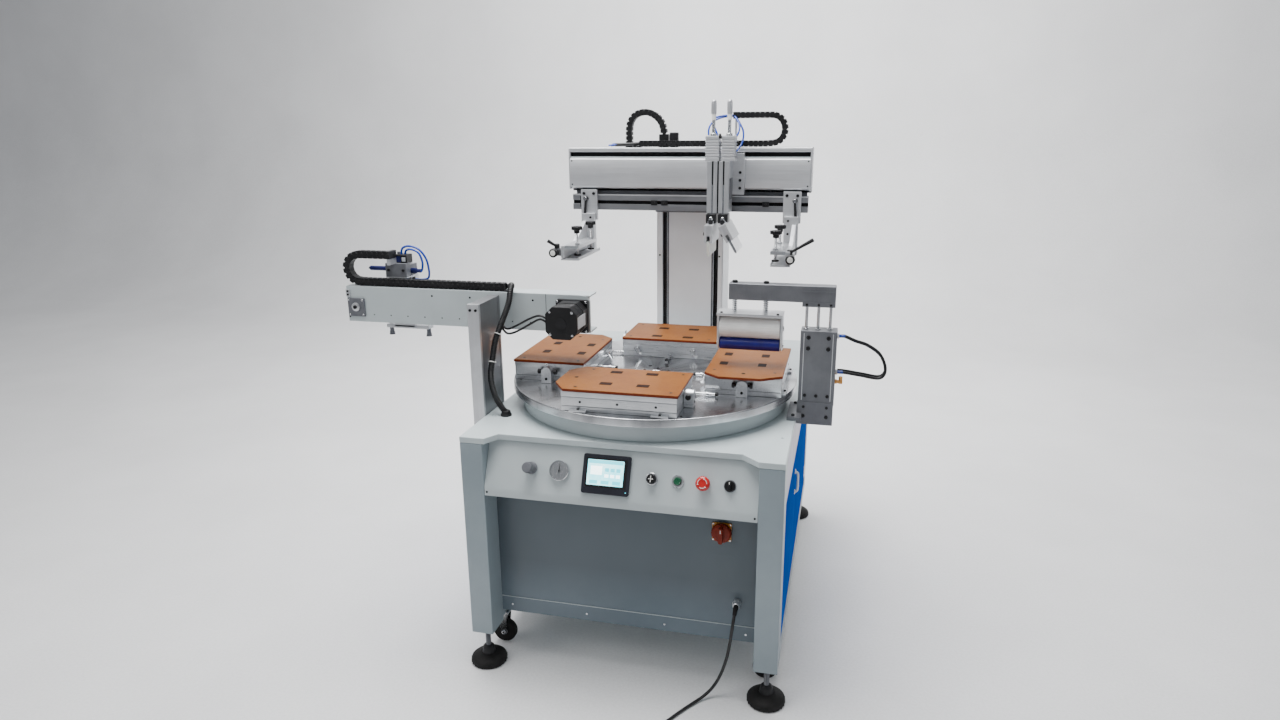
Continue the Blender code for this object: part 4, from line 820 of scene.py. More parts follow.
needle = piece("gauge_needle", "needle", "black_plastic")
needle.prism(BLACKENED, [(-0.0014, -0.006), (0.0014, -0.006), (0.001, 0.0), (0.0005, 0.0195),
    (-0.0005, 0.0195), (-0.001, 0.0)], 0.007, 0.0078, "z", 0.0002, 1, m=g)
needle.lathe(BLACKENED, [(0, 0.0066), (0.003, 0.0066), (0.003, 0.0084), (0.0022, 0.009), (0, 0.009)], m=g,
    seg=20)
needle.done()

hmi = piece("touch_screen", "base", "screen_glass")
h = out_of_panel(SCREEN_X)
hmi.prism(BEZEL, rounded(0, 0, 0.0685, 0.055, 0.006), -0.0009, 0.007, "z", 0.0014, 3, m=h)
hmi.prism(PLASTIC, rounded(0, 0.004, 0.059, 0.0405, 0.002), 0.0068, 0.0074, "z", 0.0002, 1, m=h)
hmi.prism(SCREEN, rounded(-0.002, 0.0045, 0.052, 0.035, 0.0015), 0.0072, 0.0078, "z", 0, 1, m=h)
hmi.box(SCREEN_CYAN, -0.052, 0.048, 0.029, 0.0385, 0.0077, 0.00795, 0, m=h)
hmi.box(SCREEN_PALE, -0.045, -0.012, -0.002, 0.022, 0.0077, 0.00795, 0, m=h)
for j in range(3):
    hmi.box(SCREEN_CYAN, -0.004 + 0.0165 * j, 0.008 + 0.0165 * j, 0.008, 0.018, 0.0077, 0.00795, 0, m=h)
    hmi.box(SCREEN_PALE, -0.004 + 0.0165 * j, 0.008 + 0.0165 * j, -0.008, 0.001, 0.0077, 0.00795, 0, m=h)
    hmi.box(SCREEN_CYAN, -0.046 + 0.033 * j, -0.023 + 0.033 * j, -0.027, -0.017, 0.0077, 0.00795, 0, m=h)
hmi.rod(SCREEN_CYAN, (0.06, -0.045, 0.0068), (0.06, -0.045, 0.0074), 0.0014, m=h)
hmi.done()

knob = piece("regulator_knob", "regulator", "grey_plastic")
m = out_of_panel(REGULATOR_X)
grip = [(0.0148, 0.0045), (0.017, 0.0045), (0.017, 0.013), (0.0158, 0.015), (0.015, 0.0155), (0.015, 0.03),
    (0.0146, 0.043), (0.0135, 0.0455), (0.012, 0.046), (0, 0.046)]
knob.lathe(GREY_KNOB, [(0, 0.0), (0.0148, 0.0)] + grip, m=m, seg=36)
for j in range(30):
    knob.box(GREY_KNOB, 0.0144, 0.0157, -0.0006, 0.0006, 0.0165, 0.042, 0.0003, 1, m=spun(j / 30, m))
knob.lathe(CHROME, [(0.0149, 0.002), (0.0178, 0.002), (0.0178, 0.0045), (0.0149, 0.0045)], m=m, seg=36)
knob.done()

speed = piece("speed_knob", "speed", "black_plastic")
m = out_of_panel(SPEED_X)
speed.lathe(CHROME, [(0, 0.0002), (0.0165, 0.0002), (0.0165, 0.002), (0.015, 0.003), (0, 0.003)], m=m, seg=36)
speed.lathe(PLASTIC, [(0, 0.003), (0.0138, 0.003), (0.0132, 0.006), (0.0122, 0.0165), (0.0108, 0.019),
    (0, 0.019)], m=m, seg=36)
for j in range(18):
    speed.box(PLASTIC, 0.0122, 0.0138, -0.001, 0.001, 0.005, 0.016, 0.0004, 1, m=spun(j / 18, m))
speed.box(IVORY, -0.0011, 0.0011, -0.009, 0.009, 0.0188, 0.0194, 0.0002, 1, m=m)
speed.box(IVORY, -0.007, 0.007, -0.001, 0.001, 0.0188, 0.0194, 0.0002, 1, m=m)
speed.done()

start = piece("start_button", "start", "green_plastic")
m = out_of_panel(START_X)
start.lathe(GREEN, [(0, 0.0025), (0.01, 0.0025), (0.0106, 0.0046), (0.0106, 0.0062), (0.0104, 0.0092),
    (0.009, 0.0108), (0.007, 0.01), (0, 0.0096)], m=m, seg=36)
start.done()

stop = piece("emergency_stop", "stop", "red_plastic")
m = out_of_panel(STOP_X)
stop.puck(BLACKENED, 0.0105, 0.0045, 0.012, m=m, seg=32)
stop.lathe(RED, [(0, 0.011), (0.012, 0.011), (0.0175, 0.015), (0.0197, 0.02), (0.02, 0.0245),
    (0.0192, 0.029), (0.0165, 0.0325), (0.012, 0.034), (0.01, 0.0334), (0, 0.0334)], m=m, seg=44)
for j in range(3):
    turned_m = spun(j / 3, m)
    arc = [(*polar(0.0125, a), 0.0342) for a in range(0, 75, 12)]
    stop.tube(IVORY, arc, 0.0008, 6, m=turned_m)
    stop.box(IVORY, 0.0103, 0.0145, 0.0, 0.0016, 0.0334, 0.0346, 0.0003, 1,
        m=turned_m @ Matrix.Rotation(math.radians(72), 4, "Z"))
stop.done()

selector = piece("mode_selector", "selector", "black_plastic")
m = out_of_panel(SELECTOR_X)
selector.lathe(PLASTIC, [(0, 0.0004), (0.0145, 0.0004), (0.0145, 0.0055), (0.013, 0.007), (0, 0.007)], m=m,
    seg=36)
selector.prism(PLASTIC, rounded(0, 0, 0.0036, 0.0116, 0.003), 0.006, 0.02, "z", 0.001, 2, m=m)
selector.box(IVORY, -0.0009, 0.0009, 0.004, 0.0105, 0.0196, 0.0203, 0.0002, 1, m=m)
selector.done()

inner = piece("inner_front_panel", "base", "white_enamel")
# the slate faces carry painted shade, darker towards the top
inner.box(SLATE_PAINTED_SHADE, -0.398, 0.398, -0.4057, -0.4027, 0.2075, 0.5775, 0.0008)
inner.box(SLATE_PAINTED_SHADE, -0.398, 0.398, -0.4068, -0.403, 0.1572, 0.207, 0.0014, 3)
# painted highlight: a pale strip along the fold line
inner.box(PANEL, -0.398, 0.398, -0.4072, -0.405, 0.2052, 0.2072, 0.0006)
inner.box(SLATE_PAINTED_SHADE, -0.398, 0.398, -0.4045, -0.4025, 0.1574, 0.577, 0.0)
for x in (-0.36, -0.12, 0.12, 0.36):
    inner.bolt(STEEL, (x, -0.4068, 0.18), FRONT, 0.0032, 0.001)
inner.prism(YELLOW, rounded(0.285, 0.5, 0.0275, 0.0275, 0.004), -0.4103, -0.4057, "y", 0.0008)
for dx, dz in ((-0.024, -0.024), (0.024, 0.024), (-0.024, 0.024), (0.024, -0.024)):
    inner.bolt(STEEL, (0.285 + dx, -0.4103, 0.5 + dz), FRONT, 0.0022, 0.001)
inner.lathe(EXTRUDED, [(0.0048, 0), (0.0125, 0), (0.0125, 0.012), (0.011, 0.013), (0.0048, 0.013)],
    (0.333, -0.4057, 0.283), FRONT, 6)
inner.lathe(EXTRUDED, [(0.005, 0.0125), (0.011, 0.0125), (0.0112, 0.022), (0.0095, 0.025), (0.008, 0.0263),
    (0.0054, 0.0263)], (0.333, -0.4057, 0.283), FRONT, 28)
inner.done()

iso = piece("main_isolator", "isolator", "red_plastic")
iso_m = Matrix.Translation((0.285, -0.4103, 0.5)) @ Matrix.Rotation(math.radians(90), 4, "X")
# the knob is in the darkened red: painted shade
iso.lathe(ISOLATOR_PAINTED_SHADE, [(0, 0.0004), (0.0275, 0.0004), (0.0282, 0.003), (0.0282, 0.009), (0.0262, 0.0122),
    (0.0225, 0.014), (0, 0.014)], m=iso_m, seg=44)
for j in range(20):
    iso.rod(ISOLATOR_PAINTED_SHADE, (0.0278, 0, 0.0012), (0.0278, 0, 0.011), 0.0013, seg=8, m=spun(j / 20, iso_m))
iso.prism(ISOLATOR_PAINTED_SHADE, rounded(0, 0, 0.0062, 0.0235, 0.004), 0.012, 0.0295, "z", 0.0012, 2, m=iso_m)
iso.box(IVORY, -0.001, 0.001, 0.009, 0.019, 0.029, 0.03, 0.0002, 1, m=iso_m)
iso.done()

rear = piece("rear_cover", "base", "white_enamel")
rear.box(WHITE, -0.398, 0.398, 0.7517, 0.7547, 0.14, 0.7345, 0.0012)
rear.box(WHITE, -0.398, 0.398, -0.4015, 0.7515, 0.16, 0.163, 0.0006)
for x in (-0.385, 0.385):
    for z in (0.17, 0.44, 0.715):
        rear.bolt(BLACKENED, (x, 0.7547, z), BACK, 0.0042, 0.0018)
for j in range(9):
    z = 0.26 + 0.014 * j
    rear.prism(WHITE, rounded(0, z, 0.085, 0.0035, 0.0033, 3), 0.7545, 0.7572, "y", 0.0008)
    rear.prism(SHADOW, rounded(0, z - 0.0052, 0.083, 0.0014, 0.0013, 3), 0.7545, 0.7549, "y", 0)
rear.done()

left_panel = piece("side_panel_left", "base", "blue_enamel")
left_panel.box(BLUE, -0.458, -0.455, -0.4057, 0.7547, 0.1603, 0.5997, 0.0012)
left_panel.box(BLUE, -0.456, -0.444, -0.405, 0.754, 0.161, 0.164, 0.0008)
left_panel.box(BLUE, -0.456, -0.444, -0.405, 0.754, 0.596, 0.599, 0.0008)
for y in (-0.385, 0.175, 0.735):
    for z in (0.178, 0.582):
        left_panel.bolt(BLACKENED, (-0.458, y, z), LEFTWARD, 0.004, 0.0016)
left_panel.done()

door = piece("side_door_right", "cabinet_door", "blue_enamel")
door.box(BLUE, 0.455, 0.458, -0.403, 0.751, 0.163, 0.597, 0.0014)
for y0, y1 in ((-0.403, -0.4), (0.748, 0.751)):
    door.box(BLUE, 0.444, 0.456, y0, y1, 0.163, 0.597, 0.0008)
for z0, z1 in ((0.163, 0.166), (0.594, 0.597)):
    door.box(BLUE, 0.444, 0.456, -0.403, 0.751, z0, z1, 0.0008)
grip_line = flowing([(0.4575, 0.03, 0.447), (0.465, 0.03, 0.45), (0.4675, 0.03, 0.46), (0.4675, 0.03, 0.504),
    (0.465, 0.03, 0.514), (0.4575, 0.03, 0.517)], 0.004)
door.tube(IVORY, grip_line, 0.0042, 12)
for z in (0.4465, 0.5175):
    door.lathe(IVORY, [(0, 0), (0.0085, 0), (0.0085, 0.0015), (0.006, 0.003), (0, 0.003)], (0.458, 0.03, z),
        RIGHTWARD, 20)
for z in (0.225, 0.535):
    door.box(STEEL, 0.4575, 0.4592, 0.725, 0.7505, z - 0.024, z + 0.024, 0.0006)
door.done()

# ---------------------------------------------------------------- turntable
drum = piece("turntable_drum", "base", "white_enamel")
drum.lathe(WHITE, [(0.3955, 0.7533), (0.4225, 0.7533), (0.425, 0.756), (0.425, 0.802), (0.4225, 0.8046),
    (0.3955, 0.8046)], seg=128)
drum.lathe(WHITE, [(0.3955, 0.8046), (0.3955, 0.7533)], seg=128)
drum.done()

indexer = piece("index_drive", "base", "dark_anodised")
lo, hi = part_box("index_drive")
lo, hi = lo - shift, hi - shift
indexer.box(GUNMETAL, lo.x, hi.x, max(lo.y, -0.16), min(hi.y, 0.16), lo.z, hi.z, 0.006, 3)
indexer.done()

disc = piece("turntable_disc", "turntable", "aluminium")
disc.lathe(DISC, [(0, 0.8051), (0.449, 0.8051), (0.4515, 0.8065), (0.452, 0.809), (0.452, 0.8262),
    (0.4512, 0.8285), (0.4492, 0.8299), (0, 0.8299)], seg=192)
disc.lathe(DISC, [(0, 0.829), (0.06, 0.829), (0.06, 0.8322), (0.059, 0.8331), (0.023, 0.8331),
    (0.022, 0.8322), (0.022, 0.83), (0, 0.83)], seg=72)
disc.lathe(STEEL, [(0, 0.66), (0.029, 0.66), (0.03, 0.662), (0.03, 0.805), (0, 0.805)], seg=40)
for j in range(6):
    disc.bolt(BLACKENED, (*polar(0.046, 30 + 60 * j), 0.8331), UP, 0.0048, 0.0012)
for x, y in ((-0.0344, 0.08), (0.0226, 0.0825), (0.0, -0.085)):
    disc.puck(SHADOW, 0.006, 0.8298, 0.8302, (x, y, 0), seg=20)
for j in range(8):
    disc.puck(SHADOW, 0.0036, 0.8298, 0.83015, (*polar(0.43, 22.5 + 45 * j), 0), seg=16)
disc.done()

PLATE = [(-0.21, -0.36), (-0.17, -0.421), (0.16, -0.421), (0.16, -0.19), (-0.17, -0.19), (-0.21, -0.236)]
for n, name in enumerate(("front", "right", "back", "left")):
    spin = Matrix.Rotation(n * math.pi / 2, 4, "Z")
    metal_mat = MILLED_X if n % 2 == 0 else MILLED_Y
    block = piece(f"fixture_block_{name}", "turntable", "aluminium", spin)
    # stack of plates with shadow gaps
    block.box(metal_mat, -0.176, 0.157, -0.4185, -0.192, 0.8303, 0.8442, 0.0012)
    block.box(metal_mat, -0.1755, 0.1565, -0.418, -0.1925, 0.8448, 0.8702, 0.0014)
    block.box(metal_mat, -0.1755, 0.1565, -0.415, -0.1955, 0.869, 0.8722, 0.0)
    block.box(metal_mat, -0.176, 0.157, -0.4185, -0.192, 0.8712, 0.8864, 0.0012)
    for x in (-0.12, -0.012, 0.098):
        block.bolt(BLACKENED, (x, -0.4181, 0.8573), FRONT, 0.0036, 0.0008)
    for x0, x1 in ((-0.198, -0.1755), (0.1565, 0.186)):
        cx = (x0 + x1) / 2
        arch = [(-0.322, 0.8303), (-0.322, 0.854)]
        arch += [(-0.305 - 0.017 * math.cos(math.radians(t)),
            0.865 + 0.017 * math.sin(math.radians(t)) - 0.001) for t in range(0, 181, 20)]
        arch += [(-0.288, 0.854), (-0.288, 0.8303)]
        block.prism(metal_mat, arch, x0 + 0.001, x1 - 0.001, "x", 0.0016, 2)
        outward = -1 if x0 < 0 else 1
        for side in (-1, 1):
            block.puck(BLACKENED, 0.0046, 0, 0.01, (cx, -0.305 + side * 0.0165, 0.864), (0, side, 0), 18)
            block.lathe(BLACKENED, [(0, 0.006), (0.0072, 0.006), (0.008, 0.007), (0.008, 0.013),
                (0.007, 0.014), (0, 0.014)], (cx, -0.305 + side * 0.0165, 0.864), (0, side, 0), 24)
        block.bolt(BLACKENED, (x0 + 0.001 if outward < 0 else x1 - 0.001, -0.305, 0.844), (outward, 0, 0),
            0.0044, 0.0012)
    block.rod(STEEL, (0.1775, -0.305, 0.873), (0.1775, -0.305, 0.8915), 0.0028)
    # clamp foot on the disc and air fitting on the inner face
    for x0, x1 in ((-0.15, -0.1), (0.085, 0.135)):
        block.box(metal_mat, x0, x1, -0.43, -0.4185, 0.8303, 0.8368, 0.001)
    for x in (-0.125, 0.11):
        block.bolt(BLACKENED, (x, -0.4248, 0.8368), UP, 0.004, 0.003)
    for x in (-0.09, 0.106):
        block.lathe(STEEL, [(0, -0.0005), (0.008, -0.0005), (0.008, 0.006), (0.0062, 0.007), (0.0062, 0.01),
            (0, 0.01)], (x, -0.192, 0.858), BACK, 6)
        block.rod(STEEL, (x + 0.006, -0.179, 0.865), (x - 0.011, -0.174, 0.844), 0.0062, None, 0.0012)
        block.lathe(EXTRUDED, [(0, 0), (0.0075, 0), (0.0075, 0.005), (0.0055, 0.006), (0, 0.006)],
            (x - 0.011, -0.174, 0.844), (-0.62, 0.18, -0.76), 20)
    # slim air tubes with end collars, lying on the disc
    for a, b in (((-0.01, -0.1915, 0.8375), (-0.01, -0.13, 0.8375)),
        ((0.1573, -0.206, 0.8375), (0.235, -0.206, 0.8375))):
        block.rod(STEEL, a, b, 0.004, None, 0.0006)
        for share in (0.12, 0.62, 0.97):
            spot = Vector(a).lerp(Vector(b), share)
            block.lathe(STEEL if share < 0.9 else BLACKENED,
                [(0, -0.004), (0.0056, -0.004), (0.0062, -0.003), (0.0062, 0.003), (0.0056, 0.004),
                (0, 0.004)], spot, Vector(b) - Vector(a), 20)
        block.box(metal_mat, b[0] - 0.004, b[0] + 0.004, b[1] - 0.004, b[1] + 0.004, 0.8303, 0.8345, 0.0006)
    block.done()

    plate = piece(f"fixture_plate_{name}", "turntable", "bakelite", spin)
    plate.prism(BAKELITE, PLATE, 0.8867, 0.8947, "z", 0.001, 2)
    for x in (-0.0632, 0.0455):
        for y in (-0.35, -0.2325):
            # pocket as a flat dark patch: painted shade
            plate.prism(POCKET, rounded(x, y, 0.018, 0.0125, 0.0025), 0.894, 0.89495, "z", 0)
            for dx in (-0.0095, 0.0095):
                plate.puck(SHADOW, 0.0018, 0.8948, 0.89505, (x + dx, y, 0), seg=12)
    plate.puck(SHADOW, 0.006, 0.8945, 0.89495, (-0.165, -0.305, 0), seg=24)
    for x, y in ((-0.14, -0.395), (0.135, -0.395), (-0.14, -0.215), (0.135, -0.215)):
        plate.lathe(BLACKENED, [(0, 0.8945), (0.0046, 0.8945), (0.0046, 0.8952), (0.0026, 0.8952),
            (0.0024, 0.8949), (0, 0.8949)], (x, y, 0), seg=20)
    plate.done()


# ---------------------------------------------------------------- column and print beam
col = piece("column", "base", "white_enamel")
X0, X1 = -0.118, 0.132
# the column's faces in the lighter copy of the white enamel: painted light
col.box(COLUMN_PAINTED_LIGHT, X0, X1, 0.716, 0.72, 0.7533, 1.5, 0.0015)
for xa, xb in ((X0, -0.096), (-0.079, 0.098), (0.115, X1)):
    col.box(COLUMN_PAINTED_LIGHT, xa, xb, 0.55, 0.564, 0.7533, 1.5, 0.002)
for xa, xb in ((-0.097, -0.078), (0.097, 0.116)):
    col.box(COLUMN_PAINTED_LIGHT, xa, xb, 0.55, 0.564, 0.7533, 0.8, 0.0)
    col.box(SHADOW, xa, xb, 0.563, 0.57, 0.79, 1.498, 0.0)
    rail_x = (xa + xb) / 2
    col.box(BLACKENED, rail_x - 0.004, rail_x + 0.004, 0.56, 0.564, 0.805, 1.49, 0.0008)
for xa, xb in ((X0, X0 + 0.004), (X1 - 0.004, X1)):
    col.box(COLUMN_PAINTED_LIGHT, xa, xb, 0.55, 0.72, 0.7533, 1.5, 0.002)
# grey edge beads beside the slots, and the cap
for x in (-0.0745, 0.0935):
    col.box(GREY_KNOB, x - 0.003, x + 0.0035, 0.5485, 0.5512, 0.8, 1.495, 0.0008)
col.box(COLUMN_PAINTED_LIGHT, X0 + 0.002, X1 - 0.002, 0.566, 0.718, 1.49, 1.4995, 0.0015)
for x in (X0 + 0.012, X1 - 0.012):
    for z in (0.775, 1.13, 1.475):
        col.bolt(BLACKENED, (x, 0.55, z), FRONT, 0.0034, 0.0014)
col.done()

beam = piece("print_beam", "print_head", "aluminium")
fascia = [(0.44, 1.39), (0.44, 1.491), (0.399, 1.495), (0.39, 1.488), (0.3862, 1.468), (0.385, 1.4405),
    (0.3862, 1.413), (0.39, 1.393), (0.399, 1.386)]
beam.prism(FASCIA, fascia, -0.3995, 0.4465, "x", 0.0015, 2)
beam.box(SHADOW, -0.399, 0.446, 0.401, 0.44, 1.49, 1.513, 0.0)
beam.box(FASCIA, -0.4035, 0.4505, 0.39, 0.453, 1.5122, 1.5268, 0.0022, 3)
beam.box(FASCIA, -0.4035, 0.4505, 0.437, 0.4995, 1.498, 1.5268, 0.0022, 3)
beam.box(GUNMETAL, -0.403, 0.45, 0.43, 0.4375, 1.3755, 1.513, 0.001)
beam.box(FASCIA, -0.403, 0.45, 0.43, 0.4995, 1.3753, 1.383, 0.0015)
for xa, xb in ((-0.403, -0.396), (0.443, 0.45)):
    beam.box(FASCIA, xa, xb, 0.431, 0.499, 1.376, 1.526, 0.0015)
beam.box(GUNMETAL, -0.002, 0.014, 0.436, 0.498, 1.377, 1.505, 0.001)
for xa, xb, out in ((-0.404, -0.398, -1), (0.445, 0.451, 1)):
    beam.prism(FASCIA, [(0.4495, 1.3835), (0.4495, 1.5215), (0.3895, 1.5215), (0.3895, 1.3835)], xa, xb, "x",
        0.0014)
    for y, z in ((0.4, 1.395), (0.4, 1.509), (0.44, 1.395), (0.44, 1.509)):
        beam.bolt(STEEL, (xa if out < 0 else xb, y, z), (out, 0, 0), 0.0032, 0.001)
# pale bead under the slot, and the row of vents at the left of the lip drawn as painted shadow
beam.box(PANEL, -0.399, 0.446, 0.3965, 0.403, 1.4925, 1.4968, 0.001)
for j in range(11):
    beam.box(SHADOW, -0.215 + 0.026 * j, -0.203 + 0.026 * j, 0.3925, 0.3985, 1.504, 1.51, 0.0006)
for x in (-0.392, 0.439):
    for z in (1.4, 1.482):
        beam.puck(SHADOW, 0.0026, 0, 0.001, (x, 0.3885, z), FRONT, 14)
# tee rail below, its slot, and the web that joins it
beam.box(RAIL, -0.3955, 0.4425, 0.4, 0.44, 1.3435, 1.3648, 0.0016)
beam.box(RAIL, -0.3955, 0.4425, 0.4, 0.44, 1.3102, 1.3315, 0.0016)
beam.box(SHADOW, -0.395, 0.442, 0.408, 0.4395, 1.33, 1.345, 0.0)
beam.box(GUNMETAL, -0.39, 0.437, 0.43, 0.445, 1.35, 1.385, 0.001)
beam.box(FASCIA, -0.395, 0.442, 0.399, 0.401, 1.361, 1.3655, 0.0005)
for x in (-0.362, 0.408):
    beam.box(SHADOW, x - 0.005, x + 0.005, 0.3988, 0.401, 1.32, 1.358, 0.0)
for x in (-0.093, -0.056, 0.3):
    beam.box(BLACKENED, x - 0.011, x + 0.011, 0.3935, 0.4005, 1.329, 1.346, 0.001)
    beam.bolt(BLACKENED, (x, 0.3935, 1.3375), FRONT, 0.0045, 0.0035)
# mounting block towards the column
beam.box(FASCIA, -0.0995, 0.1175, 0.49, 0.4975, 1.3005, 1.39, 0.0015)
beam.box(GUNMETAL, -0.0995, 0.1175, 0.447, 0.4905, 1.3005, 1.314, 0.0015)
beam.box(GUNMETAL, -0.0995, 0.1175, 0.49, 0.5495, 1.3005, 1.5115, 0.002)
for x in (-0.0875, 0.1065):
    beam.box(STEEL, x - 0.0068, x + 0.0068, 0.546, 0.557, 1.3105, 1.4895, 0.001)
for x in (-0.08, 0.009, 0.098):
    beam.bolt(BLACKENED, (x, 0.49, 1.345), FRONT, 0.0048, 0.004)


# drag chains on the beam
def chain(kit, path, width, height, pitch, across, mat=LINK):
    """Hinged links one after another along path; across is the direction of the hinge pins."""
    spots = flowing(path, pitch)
    across = Vector(across).normalized()
    for a, b in zip(spots, spots[1:]):
        ahead = (b - a).normalized()
        up = across.cross(ahead).normalized()
        m = Matrix((ahead, across, up)).transposed().to_4x4()
        m.translation = (a + b) / 2
        half = (b - a).length / 2
        kit.box(mat, -half * 0.8, half * 0.8, -width / 2, width / 2, height / 2 - 0.0022, height / 2, 0.0007,
            2, m=m)
        kit.box(mat, -half * 0.8, half * 0.8, -width / 2, width / 2, -height / 2, -height / 2 + 0.0022,
            0.0007, 2, m=m)
        kit.box(mat, -half * 0.55, half * 0.55, -width / 2 + 0.001, width / 2 - 0.001, -height / 2 + 0.001,
            height / 2 - 0.001, 0.0, 1, m=m)
        for s in (-1, 1):
            y0, y1 = sorted((s * (width / 2 - 0.0026), s * width / 2))
            kit.prism(mat, stadium(0, 0, height * 0.5, height * 0.5 + 0.0005, 5), y0, y1, "y", 0.0005, 1,
                m=m @ Matrix.Diagonal((half * 2.25 / height, 1, 1, 1)))
            kit.lathe(mat, [(0, 0), (height * 0.2, 0), (height * 0.17, 0.0012), (0, 0.0012)],
                (half, s * width / 2, 0), (0, s, 0), 12, m=m)


bend = [(0.316 + 0.04 * math.sin(math.radians(t)), 0.42, 1.587 - 0.0462 * math.cos(math.radians(t)))
    for t in range(30, 180, 30)]
head_run = [(-0.15, 0.42, 1.54), (-0.05, 0.42, 1.54), (0.06, 0.42, 1.54), (0.18, 0.42, 1.54),
    (0.3, 0.42, 1.5402)] + bend + [(0.318, 0.42, 1.6332)]
chain(beam, head_run, 0.026, 0.021, 0.0165, BACK)
beam.box(BLACKENED, -0.17, -0.145, 0.408, 0.432, 1.5268, 1.533, 0.001)
beam.tube(SLEEVE, flowing([(-0.238, 0.42, 1.5365), (-0.2, 0.421, 1.5375), (-0.148, 0.42, 1.54)], 0.004),
    0.0062, 14)
for dy, dz, x in ((-0.004, 0.001, -0.262), (0.0045, -0.001, -0.255), (0.0, 0.004, -0.25)):
    beam.tube(BLUE_HOSE, flowing([(x, 0.42 + dy, 1.534 + dz), (-0.24, 0.42 + dy, 1.536 + dz),
        (-0.225, 0.42 + dy * 0.5, 1.537 + dz * 0.5)], 0.004), 0.0028, 10)
# the arch that stands behind the runs
arch = [(-0.195, 0.456, 1.535), (-0.195, 0.456, 1.57), (-0.193, 0.456, 1.605), (-0.178, 0.456, 1.633),
    (-0.15, 0.456, 1.646), (-0.118, 0.456, 1.644), (-0.088, 0.456, 1.625), (-0.073, 0.456, 1.6),
    (-0.069, 0.456, 1.575)]
chain(beam, arch, 0.026, 0.0215, 0.0165, BACK)
beam.box(BLACKENED, -0.086, -0.052, 0.444, 0.47, 1.5268, 1.572, 0.003, 3)
beam.box(BLACKENED, -0.048, -0.018, 0.444, 0.468, 1.5268, 1.578, 0.004, 3)
beam.box(BLACKENED, -0.208, -0.182, 0.443, 0.469, 1.5268, 1.536, 0.001)
beam.done()

top_run = Kit("head_chain_top", "", (), "black_plastic")
chain(top_run, [(0.319, 0.42, 1.6332), (0.25, 0.42, 1.6332), (0.188, 0.42, 1.6332)], 0.026, 0.021, 0.0165,
    BACK)
top_obj = top_run.done()
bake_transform(top_obj)

# ---------------------------------------------------------------- print carriage
car = piece("print_carriage", "carriage", "aluminium")
car.box(EXTRUDED, 0.1135, 0.1875, 0.289, 0.366, 1.3155, 1.4855, 0.0015)
for xa, xb in ((0.1135, 0.1293), (0.1347, 0.1478), (0.1528, 0.1663), (0.1717, 0.1875)):
    car.box(EXTRUDED, xa, xb, 0.286, 0.2905, 1.315, 1.486, 0.001)
for x in (0.132, 0.1503, 0.169):
    car.box(SHADOW, x - 0.0024, x + 0.0024, 0.2884, 0.2892, 1.315, 1.4855, 0.0)
car.box(GUNMETAL, 0.1875, 0.1905, 0.3, 0.352, 1.36, 1.43, 0.0006)
car.box(FASCIA, 0.11, 0.228, 0.364, 0.3845, 1.372, 1.496, 0.0016)
for z in (1.394, 1.42, 1.446):
    car.bolt(BLACKENED, (0.214, 0.364, z), FRONT, 0.0048, 0.004)
car.box(FASCIA, 0.112, 0.226, 0.364, 0.386, 1.494, 1.509, 0.0014)
car.box(FASCIA, 0.114, 0.224, 0.38, 0.424, 1.4975, 1.509, 0.0014)
for x in (0.128, 0.21):
    car.bolt(BLACKENED, (x, 0.374, 1.509), UP, 0.0045, 0.0038)
for x in (0.1295, 0.182):
    # cylinder with cooling ribs, rod and micrometer adjuster
    car.box(FASCIA, x - 0.0235, x + 0.0235, 0.288, 0.336, 1.4862, 1.4975, 0.0014)
    car.box(FASCIA, x - 0.0215, x + 0.0215, 0.29, 0.334, 1.4975, 1.556, 0.0014)
    for j in range(6):
        z = 1.502 + 0.0088 * j
        car.box(FASCIA, x - 0.0235, x + 0.0235, 0.288, 0.336, z, z + 0.005, 0.001)
    car.box(FASCIA, x - 0.0235, x + 0.0235, 0.288, 0.336, 1.556, 1.5665, 0.0014)
    for dx in (-0.0175, 0.0175):
        for dy in (-0.0175, 0.0175):
            car.bolt(STEEL, (x + dx, 0.312 + dy, 1.5665), UP, 0.0028, 0.0022)
    car.lathe(STEEL, [(0, 1.566), (0.0105, 1.566), (0.0105, 1.573), (0.009, 1.575), (0.0055, 1.5755),
        (0.0055, 1.618), (0, 1.618)], (x, 0.312, 0), seg=28)
    for j in range(22):
        car.ring(STEEL, 0.005, 0.0059, 1.5765 + 0.0018 * j, 1.5775 + 0.0018 * j, (x, 0.312, 0), seg=16,
            bev=0.0002)
    car.lathe(IVORY, [(0, 1.617), (0.007, 1.617), (0.0074, 1.619), (0.0074, 1.634), (0.0066, 1.636),
        (0, 1.636)], (x, 0.312, 0), seg=28)
    car.lathe(EXTRUDED, [(0, 1.6355), (0.0078, 1.6355), (0.0085, 1.637), (0.0085, 1.674), (0.0078, 1.677),
        (0.006, 1.6808), (0, 1.6808)], (x, 0.312, 0), seg=28)
    for j in range(20):
        car.box(EXTRUDED, 0.008, 0.00895, -0.0006, 0.0006, 1.64, 1.67, 0.0003, 1,
            m=spun(j / 20, Matrix.Translation((x, 0.312, 0))))
    for z in (1.508, 1.547):
        car.puck(BLACKENED, 0.0048, 0, 0.006, (x + 0.013, 0.336, z), BACK, 6)
        car.lathe(BLUE_HOSE, [(0, 0.0055), (0.0044, 0.0055), (0.0044, 0.0095), (0.003, 0.0105), (0, 0.0105)],
            (x + 0.013, 0.336, z), BACK, 18)
